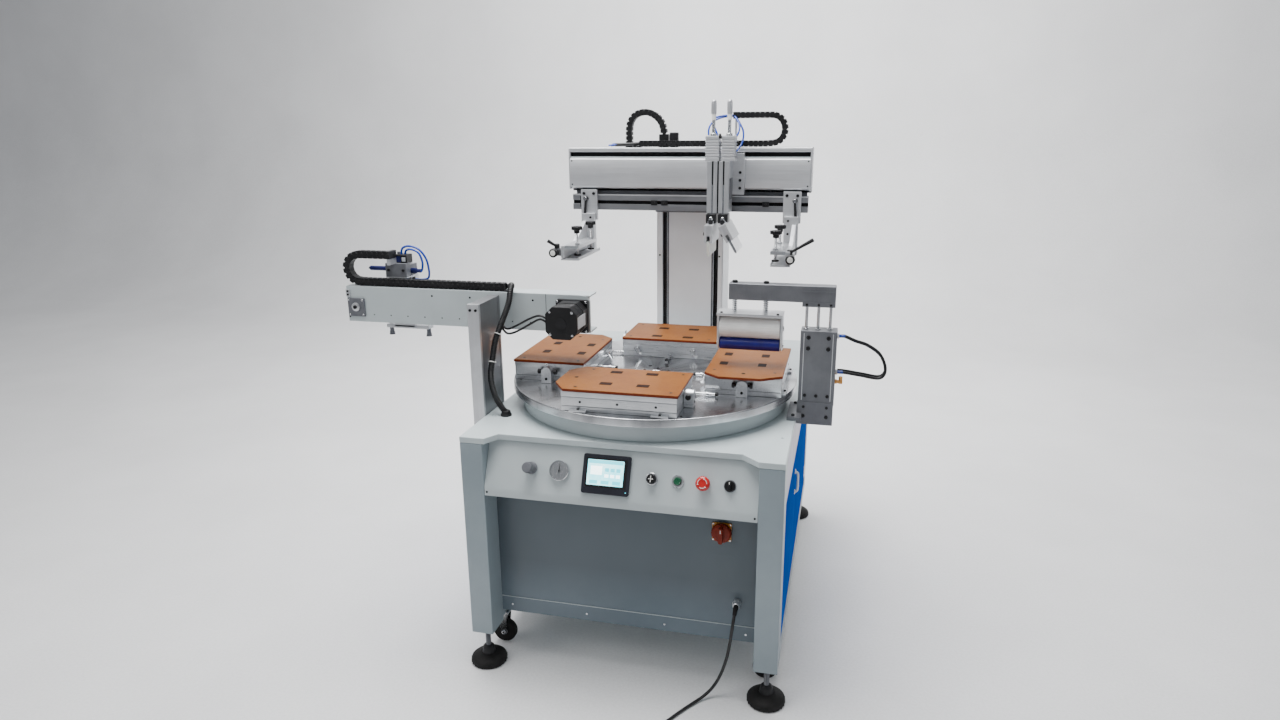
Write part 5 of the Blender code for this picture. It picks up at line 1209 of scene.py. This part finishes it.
# flow valve on the front and blue hoses
car.lathe(BLACKENED, [(0, 0), (0.005, 0), (0.005, 0.008), (0.0038, 0.009), (0.0038, 0.014), (0, 0.014)],
    (0.1555, 0.288, 1.56), (0, -0.3, 1), 18)
hoses = [[(0.1425, 0.346, 1.547), (0.142, 0.358, 1.554), (0.128, 0.366, 1.584), (0.118, 0.372, 1.608),
    (0.122, 0.386, 1.624), (0.146, 0.404, 1.631), (0.18, 0.416, 1.633), (0.2, 0.418, 1.633)],
    [(0.1425, 0.346, 1.508), (0.14, 0.368, 1.518), (0.108, 0.382, 1.552), (0.1, 0.39, 1.585),
    (0.112, 0.402, 1.612), (0.142, 0.412, 1.626), (0.18, 0.42, 1.631), (0.202, 0.421, 1.6325)],
    [(0.195, 0.346, 1.547), (0.196, 0.36, 1.556), (0.206, 0.372, 1.582), (0.204, 0.384, 1.605),
    (0.192, 0.398, 1.623), (0.186, 0.412, 1.631), (0.205, 0.423, 1.6345)],
    [(0.195, 0.346, 1.508), (0.199, 0.362, 1.515), (0.216, 0.378, 1.542), (0.218, 0.392, 1.578),
    (0.203, 0.404, 1.608), (0.19, 0.414, 1.627), (0.206, 0.418, 1.6355)]]
for path in hoses:
    car.tube(BLUE_HOSE, flowing(path, 0.005), 0.0032, 10)
car.box(BLACKENED, 0.18, 0.196, 0.406, 0.434, 1.621, 1.644, 0.0014)
car.box(FASCIA, 0.187, 0.193, 0.408, 0.423, 1.5085, 1.6215, 0.0008)
car.done()


def printing_tool(name, body, x, tilt, blade_mat):
    looks = piece(name, body, "aluminium")
    m = Matrix.Translation((x, 0.3, 1.287)) @ Matrix.Rotation(math.radians(tilt), 4, "Y")
    looks.box(STEEL, x - 0.0074, x + 0.0074, 0.288, 0.312, 1.276, 1.4095, 0.001)
    looks.box(BLACKENED, -0.017, 0.017, 0.275, 0.325, 1.283, 1.313, 0.0018, m=Matrix.Translation((x, 0, 0)))
    for y in (0.2825, 0.3175):
        looks.bolt(BLACKENED, (x - 0.01, y, 1.313), UP, 0.003, 0.0026)
    looks.bolt(STEEL, (x, 0.275, 1.298), FRONT, 0.0062, 0.0044)
    # clamp halves, trunnion and holder bar with its thumb screws
    looks.box(FASCIA, -0.014, -0.0052, -0.074, 0.074, -0.0655, -0.006, 0.0012, m=m)
    looks.box(FASCIA, 0.0052, 0.014, -0.074, 0.074, -0.0655, -0.006, 0.0012, m=m)
    looks.box(EXTRUDED, -0.006, 0.006, -0.0735, 0.0735, -0.042, -0.007, 0.0008, m=m)
    looks.box(FASCIA, -0.01, 0.01, -0.027, 0.027, -0.01, 0.0035, 0.0014, m=m)
    looks.lathe(BLACKENED, [(0, -0.031), (0.008, -0.031), (0.0086, -0.029), (0.0086, 0.029), (0.008, 0.031),
        (0, 0.031)], (0, 0, 0), BACK, 28, m=m)
    for y in (-0.052, 0.0, 0.052):
        looks.lathe(BLACKENED, [(0, 0), (0.0055, 0), (0.006, 0.001), (0.006, 0.005), (0.005, 0.0062),
            (0, 0.0062)], (-0.014, y, -0.036), LEFTWARD, 20, m=m)
    looks.box(blade_mat, -0.0044, 0.0044, -0.0745, 0.0745, -0.104, -0.06, 0.0006, m=m)
    looks.prism(blade_mat, [(-0.0044, -0.1035), (0.0044, -0.1035), (0.001, -0.1098), (-0.001, -0.1098)],
        -0.0745, 0.0745, "y", 0.0004, 1, m=m)
    return looks.done()


printing_tool("squeegee_head", "squeegee", 0.13, 0.0, URETHANE)
printing_tool("flood_head", "flood_bar", 0.17, -30.0, STEEL)


# ---------------------------------------------------------------- screen frame arms and clamp screws
def arm_looks(side, centre, inward, nose, tip, tip_z):
    looks = piece(f"frame_arm_{side}", f"arm_{side}", "aluminium")

    def place_x(u):
        return centre + inward * u

    def slab(mat, u0, u1, *rest):
        a, b = sorted((place_x(u0), place_x(u1)))
        looks.box(mat, a, b, *rest)

    slab(FASCIA, -0.03, 0.03, 0.3852, 0.3997, 1.2752, 1.3822, 0.0018)
    for u in (-0.018, 0.018):
        looks.bolt(BLACKENED, (place_x(u), 0.3852, 1.369), FRONT, 0.0052, 0.0045)
    looks.bolt(BLACKENED, (place_x(0.018), 0.3852, 1.29), FRONT, 0.0046, 0.004)
    slab(FASCIA, -0.024, 0.024, 0.3662, 0.385, 1.1702, 1.2998, 0.002)
    slab(FASCIA, -0.0235, 0.0235, 0.38, 0.3915, 1.1702, 1.274, 0.002)
    for z in (1.196, 1.242, 1.286):
        looks.bolt(BLACKENED, (place_x(0.01), 0.3662, z), FRONT, 0.004, 0.003)
    gusset = [(0.3655, 1.1704), (0.3655, 1.274), (0.356, 1.274), (0.24, 1.218), (0.112, 1.217),
        (0.112, 1.1764), (0.13, 1.1744), (0.3655, 1.1744)]
    a, b = sorted((place_x(-0.018), place_x(-0.0042)))
    looks.prism(FASCIA, gusset, a, b, "x", 0.002, 2)
    slab(MILLED_Y, -0.0041, 0.044, 0.1152, 0.3298, 1.2062, 1.2178, 0.0016)
    slab(FASCIA, -0.019, 0.043, 0.1152, 0.3715, 1.1682, 1.1738, 0.001)
    slab(FASCIA, 0.0395, 0.043, 0.116, 0.37, 1.1736, 1.179, 0.0008)
    slab(GUNMETAL, nose - 0.008, -0.0185 if nose < -0.03 else -0.0181, 0.118, 0.146, 1.1822, 1.2058, 0.0016)
    # round lock knob on the outside and the clamping levers
    looks.lathe(BLACKENED, [(0, 0.094), (0.012, 0.094), (0.015, 0.097), (0.015, 0.112), (0.013, 0.1145),
        (0.0085, 0.116), (0.0085, 0.15), (0, 0.15)], (place_x(nose), 0, 1.194), BACK, 36)
    looks.lathe(IVORY, [(0, 0.0932), (0.0082, 0.0932), (0.0092, 0.0942), (0.0092, 0.096), (0, 0.096)],
        (place_x(nose), 0, 1.194), BACK, 28)
    looks.lathe(BLACKENED, [(0, 0), (0.0085, 0), (0.009, 0.001), (0.009, 0.014), (0.007, 0.0165),
        (0, 0.0165)], (place_x(nose + 0.004), 0.13, 1.205), UP, 24)
    looks.rod(BLACKENED, (place_x(nose + 0.004), 0.128, 1.212), (place_x(tip), 0.12, tip_z), 0.004, 0.0062,
        0.0018)
    looks.rod(STEEL, (place_x(-0.01), 0.372, 1.352), (place_x(-0.01), 0.39, 1.352), 0.006)
    looks.lathe(BLACKENED, [(0, 0), (0.007, 0), (0.0082, 0.0012), (0.0082, 0.012), (0.007, 0.0135),
        (0, 0.0135)], (place_x(-0.01), 0.386, 1.352), FRONT, 24)
    lever = flowing([(place_x(-0.01), 0.378, 1.35), (place_x(-0.0105), 0.377, 1.335),
        (place_x(-0.0125), 0.3755, 1.312), (place_x(-0.014), 0.375, 1.2905)], 0.003)
    looks.tube(BLACKENED, lever, 0.0042, 14, lambda j: 0.0036 + 0.0001 * j)
    looks.done()
    for end, y in (("rear", 0.3), ("front", 0.145)):
        screw = piece(f"clamp_knob_{end}_{side}", f"clamp_{end}_{side}", "black_plastic")
        at = (place_x(0.03), y, 0)
        screw.lathe(BLACKENED, [(0, 1.256), (0.009, 1.256), (0.01, 1.258), (0.01, 1.268), (0, 1.268)], at,
            seg=28)
        screw.lathe(PLASTIC, [(0, 1.267), (0.015, 1.267), (0.017, 1.269), (0.017, 1.277), (0.015, 1.2792),
            (0.006, 1.28), (0, 1.28)], at, seg=36)
        for j in range(8):
            screw.rod(PLASTIC, (0.016, 0, 1.268), (0.016, 0, 1.2788), 0.0031, seg=12,
                m=spun(j / 8, Matrix.Translation(at)))
        screw.lathe(STEEL, [(0, 1.185), (0.0038, 1.185)] + [(0.0041 - 0.0004 * (j % 2), 1.186 + 0.0009 * j)
            for j in range(77)] + [(0.0038, 1.2565), (0, 1.2565)], at, seg=16)
        screw.lathe(RUBBER, [(0, 1.181), (0.011, 1.181), (0.012, 1.182), (0.012, 1.1848), (0.0105, 1.1862),
            (0, 1.1862)], at, seg=28)
        screw.lathe(STEEL, [(0.004, 1.2182), (0.0085, 1.2182), (0.0085, 1.223), (0.004, 1.223)], at, seg=6)
        screw.done()


arm_looks("left", -0.33, 1, -0.04, -0.066, 1.232)
arm_looks("right", 0.39, -1, -0.02, -0.088, 1.256)

# ---------------------------------------------------------------- unloading arm
bracket = piece("unload_bracket", "base", "white_enamel")
lo, hi = (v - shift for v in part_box("unload_bracket"))
bracket.box(EXTRUDED, lo.x, hi.x, lo.y, lo.y + 0.012, lo.z, hi.z, 0.0016)
bracket.box(RAIL, lo.x + 0.001, hi.x - 0.0012, lo.y + 0.0122, -0.1685, lo.z + 0.001, hi.z - 0.001, 0.0016)
bracket.box(RAIL, lo.x, hi.x, -0.1683, -0.1555, lo.z, hi.z, 0.0014)
for y, z in ((-0.285, 0.64), (-0.2, 0.64), (-0.285, 0.7), (-0.2, 0.7)):
    bracket.bolt(BLACKENED, (lo.x + 0.001, y, z), LEFTWARD, 0.006, 0.0008)
for x in (lo.x + 0.01, hi.x - 0.01):
    bracket.bolt(BLACKENED, (x, lo.y, 1.08), FRONT, 0.0042, 0.0034)
bracket.done()

arm_beam = piece("unload_beam", "base", "white_enamel")
arm_beam.prism(PANEL, [(-0.9945, 0.99), (-0.9945, 1.107), (-0.195, 1.107), (-0.175, 1.1035), (-0.1655, 1.09),
    (-0.1655, 0.99)], -0.155, -0.149, "y", 0.0016, 2)
arm_beam.box(PANEL, -0.9945, -0.166, -0.154, -0.0855, 1.101, 1.107, 0.0016)
arm_beam.box(PANEL, -0.9945, -0.166, -0.154, -0.0855, 0.99, 0.996, 0.0016)
arm_beam.box(STEEL, -0.97, -0.19, -0.093, -0.086, 1.008, 1.02, 0.001)
arm_beam.box(FASCIA, -0.99, -0.17, -0.149, -0.142, 1.001, 1.1, 0.001)
arm_beam.box(SHADOW, -0.308, -0.3066, -0.15545, -0.154, 0.9905, 1.1065, 0.0)
arm_beam.box(GREY_KNOB, -0.99, -0.93, -0.161, -0.155, 1.008, 1.068, 0.0012)
arm_beam.lathe(EXTRUDED, [(0, 0), (0.013, 0), (0.014, 0.0012), (0.014, 0.005), (0.01, 0.006), (0, 0.006)],
    (-0.96, -0.161, 1.04), FRONT, 32)
arm_beam.lathe(BLACKENED, [(0, 0.0055), (0.006, 0.0055), (0.006, 0.01), (0.003, 0.01), (0.0028, 0.007),
    (0, 0.007)], (-0.96, -0.161, 1.04), FRONT, 20)
for dx, dz in ((-0.024, -0.024), (0.024, -0.024), (-0.024, 0.024), (0.024, 0.024)):
    arm_beam.bolt(STEEL, (-0.96 + dx, -0.161, 1.038 + dz), FRONT, 0.0036, 0.003)
arm_beam.box(EXTRUDED, -0.9945, -0.98, -0.16, -0.154, 1.072, 1.096, 0.001)
for z in (1.079, 1.09):
    arm_beam.bolt(BLACKENED, (-0.987, -0.16, z), FRONT, 0.0034, 0.0026)
for z in (1.005, 1.03, 1.055):
    arm_beam.bolt(BLACKENED, (-0.989, -0.155, z), FRONT, 0.0026, 0.0016)
for j in range(12):
    arm_beam.puck(SHADOW, 0.0022, 0, 0.0003, (-0.9 + 0.06 * j, -0.155, 1.015), FRONT, 12)
for x in (-0.69, -0.56, -0.35, -0.19):
    arm_beam.puck(SHADOW, 0.0032, 0, 0.0003, (x, -0.155, 1.085), FRONT, 14)
arm_beam.done()

motor = piece("unload_motor", "base", "black_plastic")
MX, MZ = -0.22, 1.0435


def octagon(half, chamfer):
    h, c = half, chamfer
    return [(MX + a, MZ + b) for a, b in ((h, h - c), (h - c, h), (c - h, h), (-h, h - c), (-h, c - h),
        (c - h, -h), (h - c, -h), (h, c - h))]


motor.prism(BLACKENED, rounded(MX, MZ, 0.051, 0.051, 0.006), -0.17, -0.1553, "y", 0.0014)
motor.prism(PLASTIC, octagon(0.049, 0.022), -0.208, -0.17, "y", 0.0016)
motor.prism(BLACKENED, octagon(0.047, 0.021), -0.242, -0.208, "y", 0.001)
motor.prism(PLASTIC, octagon(0.049, 0.022), -0.2715, -0.242, "y", 0.002)
for j in range(4):
    motor.prism(BLACKENED, octagon(0.048, 0.0215), -0.216 - 0.007 * j, -0.213 - 0.007 * j, "y", 0.0006, 1)
motor.box(DIAL, MX + 0.048, MX + 0.0494, -0.262, -0.19, MZ - 0.018, MZ + 0.018, 0.0004)
for dx, dz in ((-0.038, -0.038), (0.038, -0.038), (-0.038, 0.038), (0.038, 0.038)):
    motor.bolt(STEEL, (MX + dx * 0.9, -0.2715, MZ + dz * 0.9), FRONT, 0.0038, 0.0018)
    motor.bolt(STEEL, (MX + dx * 1.18, -0.17, MZ + dz * 1.18), FRONT, 0.0036, 0.0034)
motor.lathe(BLACKENED, [(0, 0), (0.016, 0), (0.017, 0.0008), (0.017, 0.0014), (0, 0.0014)],
    (MX, -0.2715, MZ), FRONT, 36)
motor.box(PLASTIC, MX - 0.053, MX - 0.047, -0.256, -0.228, MZ - 0.015, MZ + 0.013, 0.0014)
for z0, sag, ye in ((MZ + 0.005, 0.006, -0.232), (MZ - 0.006, 0.012, -0.25)):
    wire = flowing([(MX - 0.051, -0.244, z0), (MX - 0.075, -0.244, z0 + 0.01),
        (MX - 0.11, -0.238, z0 + 0.004 - sag), (MX - 0.15, ye, z0 - 0.018 - sag),
        (MX - 0.19, -0.222, z0 - 0.038 - sag * 0.5), (MX - 0.215, -0.208, z0 - 0.03)], 0.005)
    motor.tube(SLEEVE, wire, 0.0034, 12)
motor.done()

arm_chain = piece("unload_chain", "base", "black_plastic")
r_bend = 0.0442
lower = [(-0.445, -0.135, 1.12), (-0.56, -0.135, 1.12), (-0.7, -0.135, 1.12), (-0.85, -0.135, 1.12),
    (-0.935, -0.135, 1.1202)]
lower += [(-0.948 - r_bend * math.sin(math.radians(t)), -0.135, 1.1642 - r_bend * math.cos(math.radians(t)))
    for t in range(20, 180, 25)]
lower += [(-0.948, -0.135, 1.2084)]
chain(arm_chain, lower, 0.0275, 0.024, 0.0175, BACK)
arm_chain.box(BLACKENED, -0.46, -0.434, -0.15, -0.12, 1.1072, 1.111, 0.0008)
for x in (-0.455, -0.441):
    arm_chain.bolt(STEEL, (x, -0.135, 1.111), UP, 0.003, 0.002)
arm_chain.done()
arm_chain_top = Kit("unload_chain_top", "", (), "black_plastic")
chain(arm_chain_top, [(-0.948, -0.135, 1.2084), (-0.9, -0.135, 1.2084), (-0.838, -0.135, 1.2084)], 0.0275,
    0.024, 0.0175, BACK)
arm_chain_top_obj = arm_chain_top.done()
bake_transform(arm_chain_top_obj)

sleeve = piece("arm_cable", "base", "black_rubber")
sleeve_line = flowing([(-0.436, -0.135, 1.121), (-0.428, -0.138, 1.124), (-0.419, -0.152, 1.128),
    (-0.415, -0.174, 1.113), (-0.418, -0.186, 1.078), (-0.431, -0.206, 1.03), (-0.446, -0.23, 0.976),
    (-0.448, -0.256, 0.925), (-0.447, -0.28, 0.87), (-0.433, -0.288, 0.815), (-0.412, -0.29, 0.778),
    (-0.396, -0.29, 0.76)], 0.0016)
sleeve.tube(SLEEVE, sleeve_line, 0.0095, 16, lambda k: 0.0096 if k % 3 else 0.0083)
sleeve.lathe(PLASTIC, [(0.0095, 0.7532), (0.017, 0.7532), (0.017, 0.758), (0.015, 0.76), (0.013, 0.768),
    (0.01, 0.77)], (-0.399, -0.29, 0), seg=28)
for share in (0.42, 0.62):
    spot = sleeve_line[int(len(sleeve_line) * share)]
    ahead = (sleeve_line[int(len(sleeve_line) * share) + 2] - spot).normalized()
    sleeve.ring(IVORY, 0.0088, 0.0108, -0.0014, 0.0014, spot, ahead, 28, 0.0004)
    sleeve.box(IVORY, 0.0095, 0.013, -0.0022, 0.0022, -0.0018, 0.0018, 0.0004, 1, m=Matrix.Translation(spot))
sleeve.done()

unloader = piece("unload_carriage", "unloader", "grey_enamel")
unloader.box(GREY_KNOB, -0.872, -0.797, -0.112, -0.084, 1.132, 1.178, 0.0016)
unloader.box(FASCIA, -0.872, -0.797, -0.084, -0.034, 1.1077, 1.13, 0.0016)
unloader.box(FASCIA, -0.872, -0.797, -0.112, -0.034, 1.13, 1.1345, 0.001)
unloader.box(GREY_KNOB, -0.87, -0.799, -0.0845, -0.036, 1.1345, 1.17, 0.0014)
unloader.box(FASCIA, -0.872, -0.797, -0.084, -0.055, 0.96, 1.129, 0.0014)
unloader.box(FASCIA, -0.902, -0.748, -0.084, -0.05, 0.9562, 0.968, 0.0014)
for x in (-0.86, -0.808):
    unloader.bolt(BLACKENED, (x, -0.112, 1.156), FRONT, 0.0044, 0.0036)
    unloader.bolt(BLACKENED, (x, -0.084, 0.99), FRONT, 0.0044, 0.0036)
for x in (-0.893, -0.757):
    unloader.puck(FASCIA, 0.005, 0.969, 0.974, (x, -0.067, 0), seg=6)
    unloader.lathe(GREY_KNOB, [(0, 0.9565), (0.007, 0.9565), (0.007, 0.947), (0.0062, 0.9455),
        (0.0078, 0.943), (0.0072, 0.9405), (0.009, 0.938), (0.0082, 0.9355), (0.01, 0.93), (0.0088, 0.9302),
        (0, 0.938)], (x, -0.067, 0), seg=28)
unloader.lathe(NAVY, [(0, 0), (0.0065, 0), (0.0075, 0.0015), (0.0075, 0.076), (0.0065, 0.0775), (0, 0.0775)],
    (-0.9445, -0.08, 1.155), RIGHTWARD, 28)
unloader.puck(STEEL, 0.005, 0, 0.004, (-0.949, -0.08, 1.155), RIGHTWARD, 20)
unloader.box(BLACKENED, -0.88, -0.868, -0.092, -0.068, 1.143, 1.167, 0.0014)
unloader.box(PLASTIC, -0.848, -0.8, -0.1, -0.06, 1.175, 1.204, 0.0022, 3)
unloader.box(NAVY, -0.844, -0.82, -0.1006, -0.09, 1.18, 1.2, 0.001)
unloader.box(DIAL, -0.817, -0.804, -0.1008, -0.09, 1.183, 1.196, 0.0006)
unloader.box(BLACKENED, -0.848, -0.834, -0.148, -0.1, 1.196, 1.2205, 0.0014)
unloader.box(FASCIA, -0.846, -0.836, -0.144, -0.09, 1.176, 1.196, 0.001)
unloader.lathe(NAVY, [(0, 0), (0.008, 0), (0.009, 0.0015), (0.009, 0.019), (0.0062, 0.021), (0.0062, 0.034),
    (0, 0.034)], (-0.799, -0.075, 1.15), RIGHTWARD, 24)
unloader.puck(GREY_KNOB, 0.005, 0, 0.008, (-0.84, -0.075, 1.203), UP, 20)
for path in ([(-0.815, -0.08, 1.202), (-0.81, -0.08, 1.216), (-0.792, -0.08, 1.22), (-0.768, -0.079, 1.21),
    (-0.757, -0.078, 1.185), (-0.757, -0.077, 1.165), (-0.762, -0.0755, 1.15), (-0.768, -0.075, 1.15)],
    [(-0.828, -0.08, 1.202), (-0.824, -0.079, 1.222), (-0.802, -0.076, 1.23), (-0.77, -0.072, 1.22),
    (-0.748, -0.068, 1.19), (-0.742, -0.064, 1.15), (-0.748, -0.06, 1.125), (-0.77, -0.056, 1.118),
    (-0.796, -0.056, 1.118)]):
    unloader.tube(BLUE_HOSE, flowing(path, 0.005), 0.0036, 10)
unloader.done()

# ---------------------------------------------------------------- cleaning station
station = piece("cleaner_body", "base", "dark_anodised")
station.box(GUNMETAL, 0.4625, 0.5678, -0.1, -0.04, 0.7903, 1.0178, 0.0022, 3)
station.box(GUNMETAL, 0.4605, 0.5668, -0.103, -0.088, 0.7292, 0.8, 0.0016)
station.box(GUNMETAL, 0.4342, 0.4758, -0.1498, -0.0002, 0.7535, 0.765, 0.0014)
station.box(GUNMETAL, 0.4605, 0.47, -0.1, -0.05, 0.76, 0.795, 0.0014)
station.box(FASCIA, 0.472, 0.474, -0.10035, -0.099, 0.805, 1.01, 0.0)
station.box(FASCIA, 0.556, 0.558, -0.10035, -0.099, 0.805, 1.01, 0.0)
for x in (0.486, 0.544):
    for z in (0.965, 0.998):
        station.bolt(BLACKENED, (x, -0.1, z), FRONT, 0.0062, 0.0036)
for x in (0.482, 0.515, 0.548):
    station.bolt(BLACKENED, (x, -0.1, 0.82), FRONT, 0.005, 0.003)
for x in (0.48, 0.548):
    station.bolt(BLACKENED, (x, -0.103, 0.756), FRONT, 0.0055, 0.0036)
    station.bolt(BLACKENED, (x, -0.103, 0.785), FRONT, 0.0044, 0.003)
for y in (-0.135, -0.015):
    station.bolt(BLACKENED, (0.452, y, 0.765), UP, 0.0055, 0.0048)
for x in (0.4765, 0.5105, 0.5455):
    station.ring(STEEL, 0.0047, 0.0078, 1.017, 1.0205, (x, -0.07, 0), seg=24, bev=0.0005)
for z in (0.889, 1.0):
    station.lathe(EXTRUDED, [(0, 0), (0.0085, 0), (0.0085, 0.0045), (0.007, 0.0055), (0, 0.0055)],
        (0.5678, -0.07, z), RIGHTWARD, 6)
station.lathe(BRASS, [(0, 0), (0.007, 0), (0.007, 0.006), (0.0055, 0.0065), (0.0055, 0.012), (0, 0.012)],
    (0.5678, -0.088, 0.865), RIGHTWARD, 6)
station.box(BRASS, 0.578, 0.59, -0.094, -0.082, 0.859, 0.871, 0.002)
station.lathe(BRASS, [(0, 0), (0.0055, 0), (0.0055, 0.01), (0.004, 0.011), (0, 0.011)],
    (0.584, -0.088, 0.87), UP, 20)
station.done()

loops = piece("cleaner_hose", "base", "black_rubber")
for dy, dz in ((0.0, 0.0), (0.0085, 0.0045)):
    loop = [(0.572, -0.07 + dy, 0.889 + dz), (0.59, -0.07 + dy, 0.889 + dz), (0.64, -0.07 + dy, 0.883 + dz),
        (0.69, -0.07 + dy, 0.877 + dz), (0.708, -0.07 + dy, 0.89 + dz), (0.708, -0.07 + dy, 0.918),
        (0.69, -0.07 + dy, 0.953 - dz), (0.655, -0.07 + dy, 0.977 - dz), (0.62, -0.07 + dy, 0.988 - dz),
        (0.59, -0.07 + dy, 1.0 - dz), (0.572, -0.07 + dy, 1.0 - dz)]
    loops.tube(SLEEVE, flowing(loop, 0.004), 0.0046 if dy == 0 else 0.0036, 14)
for z in (0.889, 1.0):
    loops.tube(BLUE_HOSE, flowing([(0.573, -0.07, z), (0.582, -0.07, z), (0.59, -0.07, z + 0.0002)], 0.003),
        0.0053, 16)
loops.done()

swing_arm = piece("cleaner_arm", "cleaner", "dark_anodised")
swing_arm.box(GUNMETAL, 0.246, 0.558, -0.09, -0.05, 1.0992, 1.1488, 0.0022, 3)
swing_arm.box(GUNMETAL, 0.463, 0.558, -0.092, -0.048, 1.087, 1.102, 0.0016)
swing_arm.box(GUNMETAL, 0.46, 0.556, -0.0925, -0.048, 1.13, 1.134, 0.0)
for x in (0.4765, 0.5105, 0.5455):
    swing_arm.rod(STEEL, (x, -0.07, 0.9352), (x, -0.07, 1.0918), 0.0045, seg=24)
    swing_arm.bolt(BLACKENED, (x, -0.092, 1.0945), FRONT, 0.0034, 0.0022)
for x in (0.262, 0.355):
    swing_arm.rod(STEEL, (x, -0.07, 1.055), (x, -0.07, 1.1555), 0.0055, seg=20)
    spring = [(x + 0.0074 * math.cos(0.62 * j), -0.07 + 0.0074 * math.sin(0.62 * j), 1.062 + 0.00056 * j)
        for j in range(64)]
    swing_arm.tube(STEEL, spring, 0.001, 6)
    swing_arm.lathe(BLACKENED, [(0, 1.1485), (0.0085, 1.1485), (0.0085, 1.1545), (0.007, 1.1555),
        (0, 1.1555)], (x, -0.07, 0), seg=6)
swing_arm.box(EXTRUDED, 0.2128, 0.4087, -0.104, -0.03, 1.0517, 1.06, 0.0014)
for xa, xb in ((0.213, 0.219), (0.4025, 0.4085)):
    swing_arm.prism(EXTRUDED, [(-0.092, 1.053), (-0.04, 1.053), (-0.04, 0.964), (-0.052, 0.948),
        (-0.088, 0.948), (-0.092, 0.956)], xa, xb, "x", 0.001)
for out, x in ((-1, 0.213), (1, 0.4085)):
    swing_arm.bolt(STEEL, (x, -0.066, 1.0125), (out, 0, 0), 0.0075, 0.0034)
    swing_arm.bolt(STEEL, (x, -0.07, 0.9613), (out, 0, 0), 0.006, 0.0034)
for x in (0.227, 0.394):
    swing_arm.bolt(BLACKENED, (x, -0.096, 1.06), UP, 0.004, 0.0034)
swing_arm.done()

white_roller = piece("white_roller", "roller_white", "roller_white")
white_roller.lathe(WHITE_ROLL, [(0.01, -0.0903), (0.031, -0.0903), (0.0325, -0.089), (0.0325, 0.089),
    (0.031, 0.0903), (0.01, 0.0903)], (0.3105, -0.066, 1.0125), RIGHTWARD, 64)
white_roller.puck(STEEL, 0.0105, -0.0908, 0.0908, (0.3105, -0.066, 1.0125), RIGHTWARD, 24)
white_roller.done()
blue_roller = piece("blue_roller", "roller_blue", "roller_blue")
blue_roller.lathe(BLUE_ROLL, [(0.006, -0.0903), (0.0175, -0.0903), (0.0185, -0.0893), (0.0185, 0.0893),
    (0.0175, 0.0903), (0.006, 0.0903)], (0.3105, -0.07, 0.9613), RIGHTWARD, 48)
blue_roller.puck(STEEL, 0.0062, -0.0908, 0.0908, (0.3105, -0.07, 0.9613), RIGHTWARD, 20)
blue_roller.done()

# ---------------------------------------------------------------- floor, backdrop and light
FLOOR = surface("studio_floor", (0.86, 0.86, 0.865), (0.8, 0.8, 0.805), (0.55, 0.7), 1.3, 120.0, (1, 1, 1),
    0.05, 0.0005)
sweep = [(-7.0, 0.0), (3.6, 0.0)] + [(3.6 + 1.6 * math.sin(math.radians(t)),
    1.6 - 1.6 * math.cos(math.radians(t))) for t in range(6, 91, 6)] + [(5.2, 7.0)]
stage_bm = bmesh.new()
rows = [[stage_bm.verts.new((x, y, z)) for x in (-9.0, 9.0)] for y, z in sweep]
for a, b in zip(rows, rows[1:]):
    stage_bm.faces.new((a[0], a[1], b[1], b[0])).smooth = True
stage_mesh = bpy.data.meshes.new("studio_sweep")
stage_bm.to_mesh(stage_mesh)
stage_bm.free()
stage_mesh.materials.append(FLOOR)
stage_obj = bpy.data.objects.new("studio_sweep", stage_mesh)
bpy.context.scene.collection.objects.link(stage_obj)


def area_light(name, at, target, size, power, colour=(1, 1, 1)):
    data = bpy.data.lights.new(name, "AREA")
    data.shape = "RECTANGLE"
    data.size, data.size_y = size
    data.energy = power
    data.color = colour
    lamp = bpy.data.objects.new(name, data)
    lamp.location = at
    lamp.rotation_euler = (Vector(target) - Vector(at)).to_track_quat("-Z", "Y").to_euler()
    bpy.context.scene.collection.objects.link(lamp)


area_light("top_soft", (-0.2, -0.1, 3.3), (0.0, 0.1, 0.6), (2.4, 2.0), 200)
area_light("key_left", (-3.0, -3.0, 3.2), (0.0, 0.0, 0.9), (1.8, 1.8), 42, (1.0, 0.99, 0.97))
area_light("fill_right", (3.4, -2.0, 2.2), (0.1, 0.0, 0.9), (1.6, 1.6), 10, (0.92, 0.96, 1.0))
area_light("back_wall", (0.0, 2.0, 3.6), (0.0, 4.8, 1.2), (5.0, 1.6), 260)
world = bpy.data.worlds.new("studio")
world.use_nodes = True
world_tree = world.node_tree
sky_coords = world_tree.nodes.new("ShaderNodeTexCoord")
sky_up = add(world_tree, "SeparateXYZ", {"Vector": sky_coords.outputs["Generated"]}).outputs[2]
sky = blend_colour(world_tree, ramp(world_tree, sky_up, -0.2, 0.9, 0.0, 1.0), (0.3, 0.32, 0.36),
    (0.95, 0.97, 1.0))
world_tree.links.new(sky, world_tree.nodes["Background"].inputs[0])
world_tree.nodes["Background"].inputs[1].default_value = 0.5
bpy.context.scene.world = world
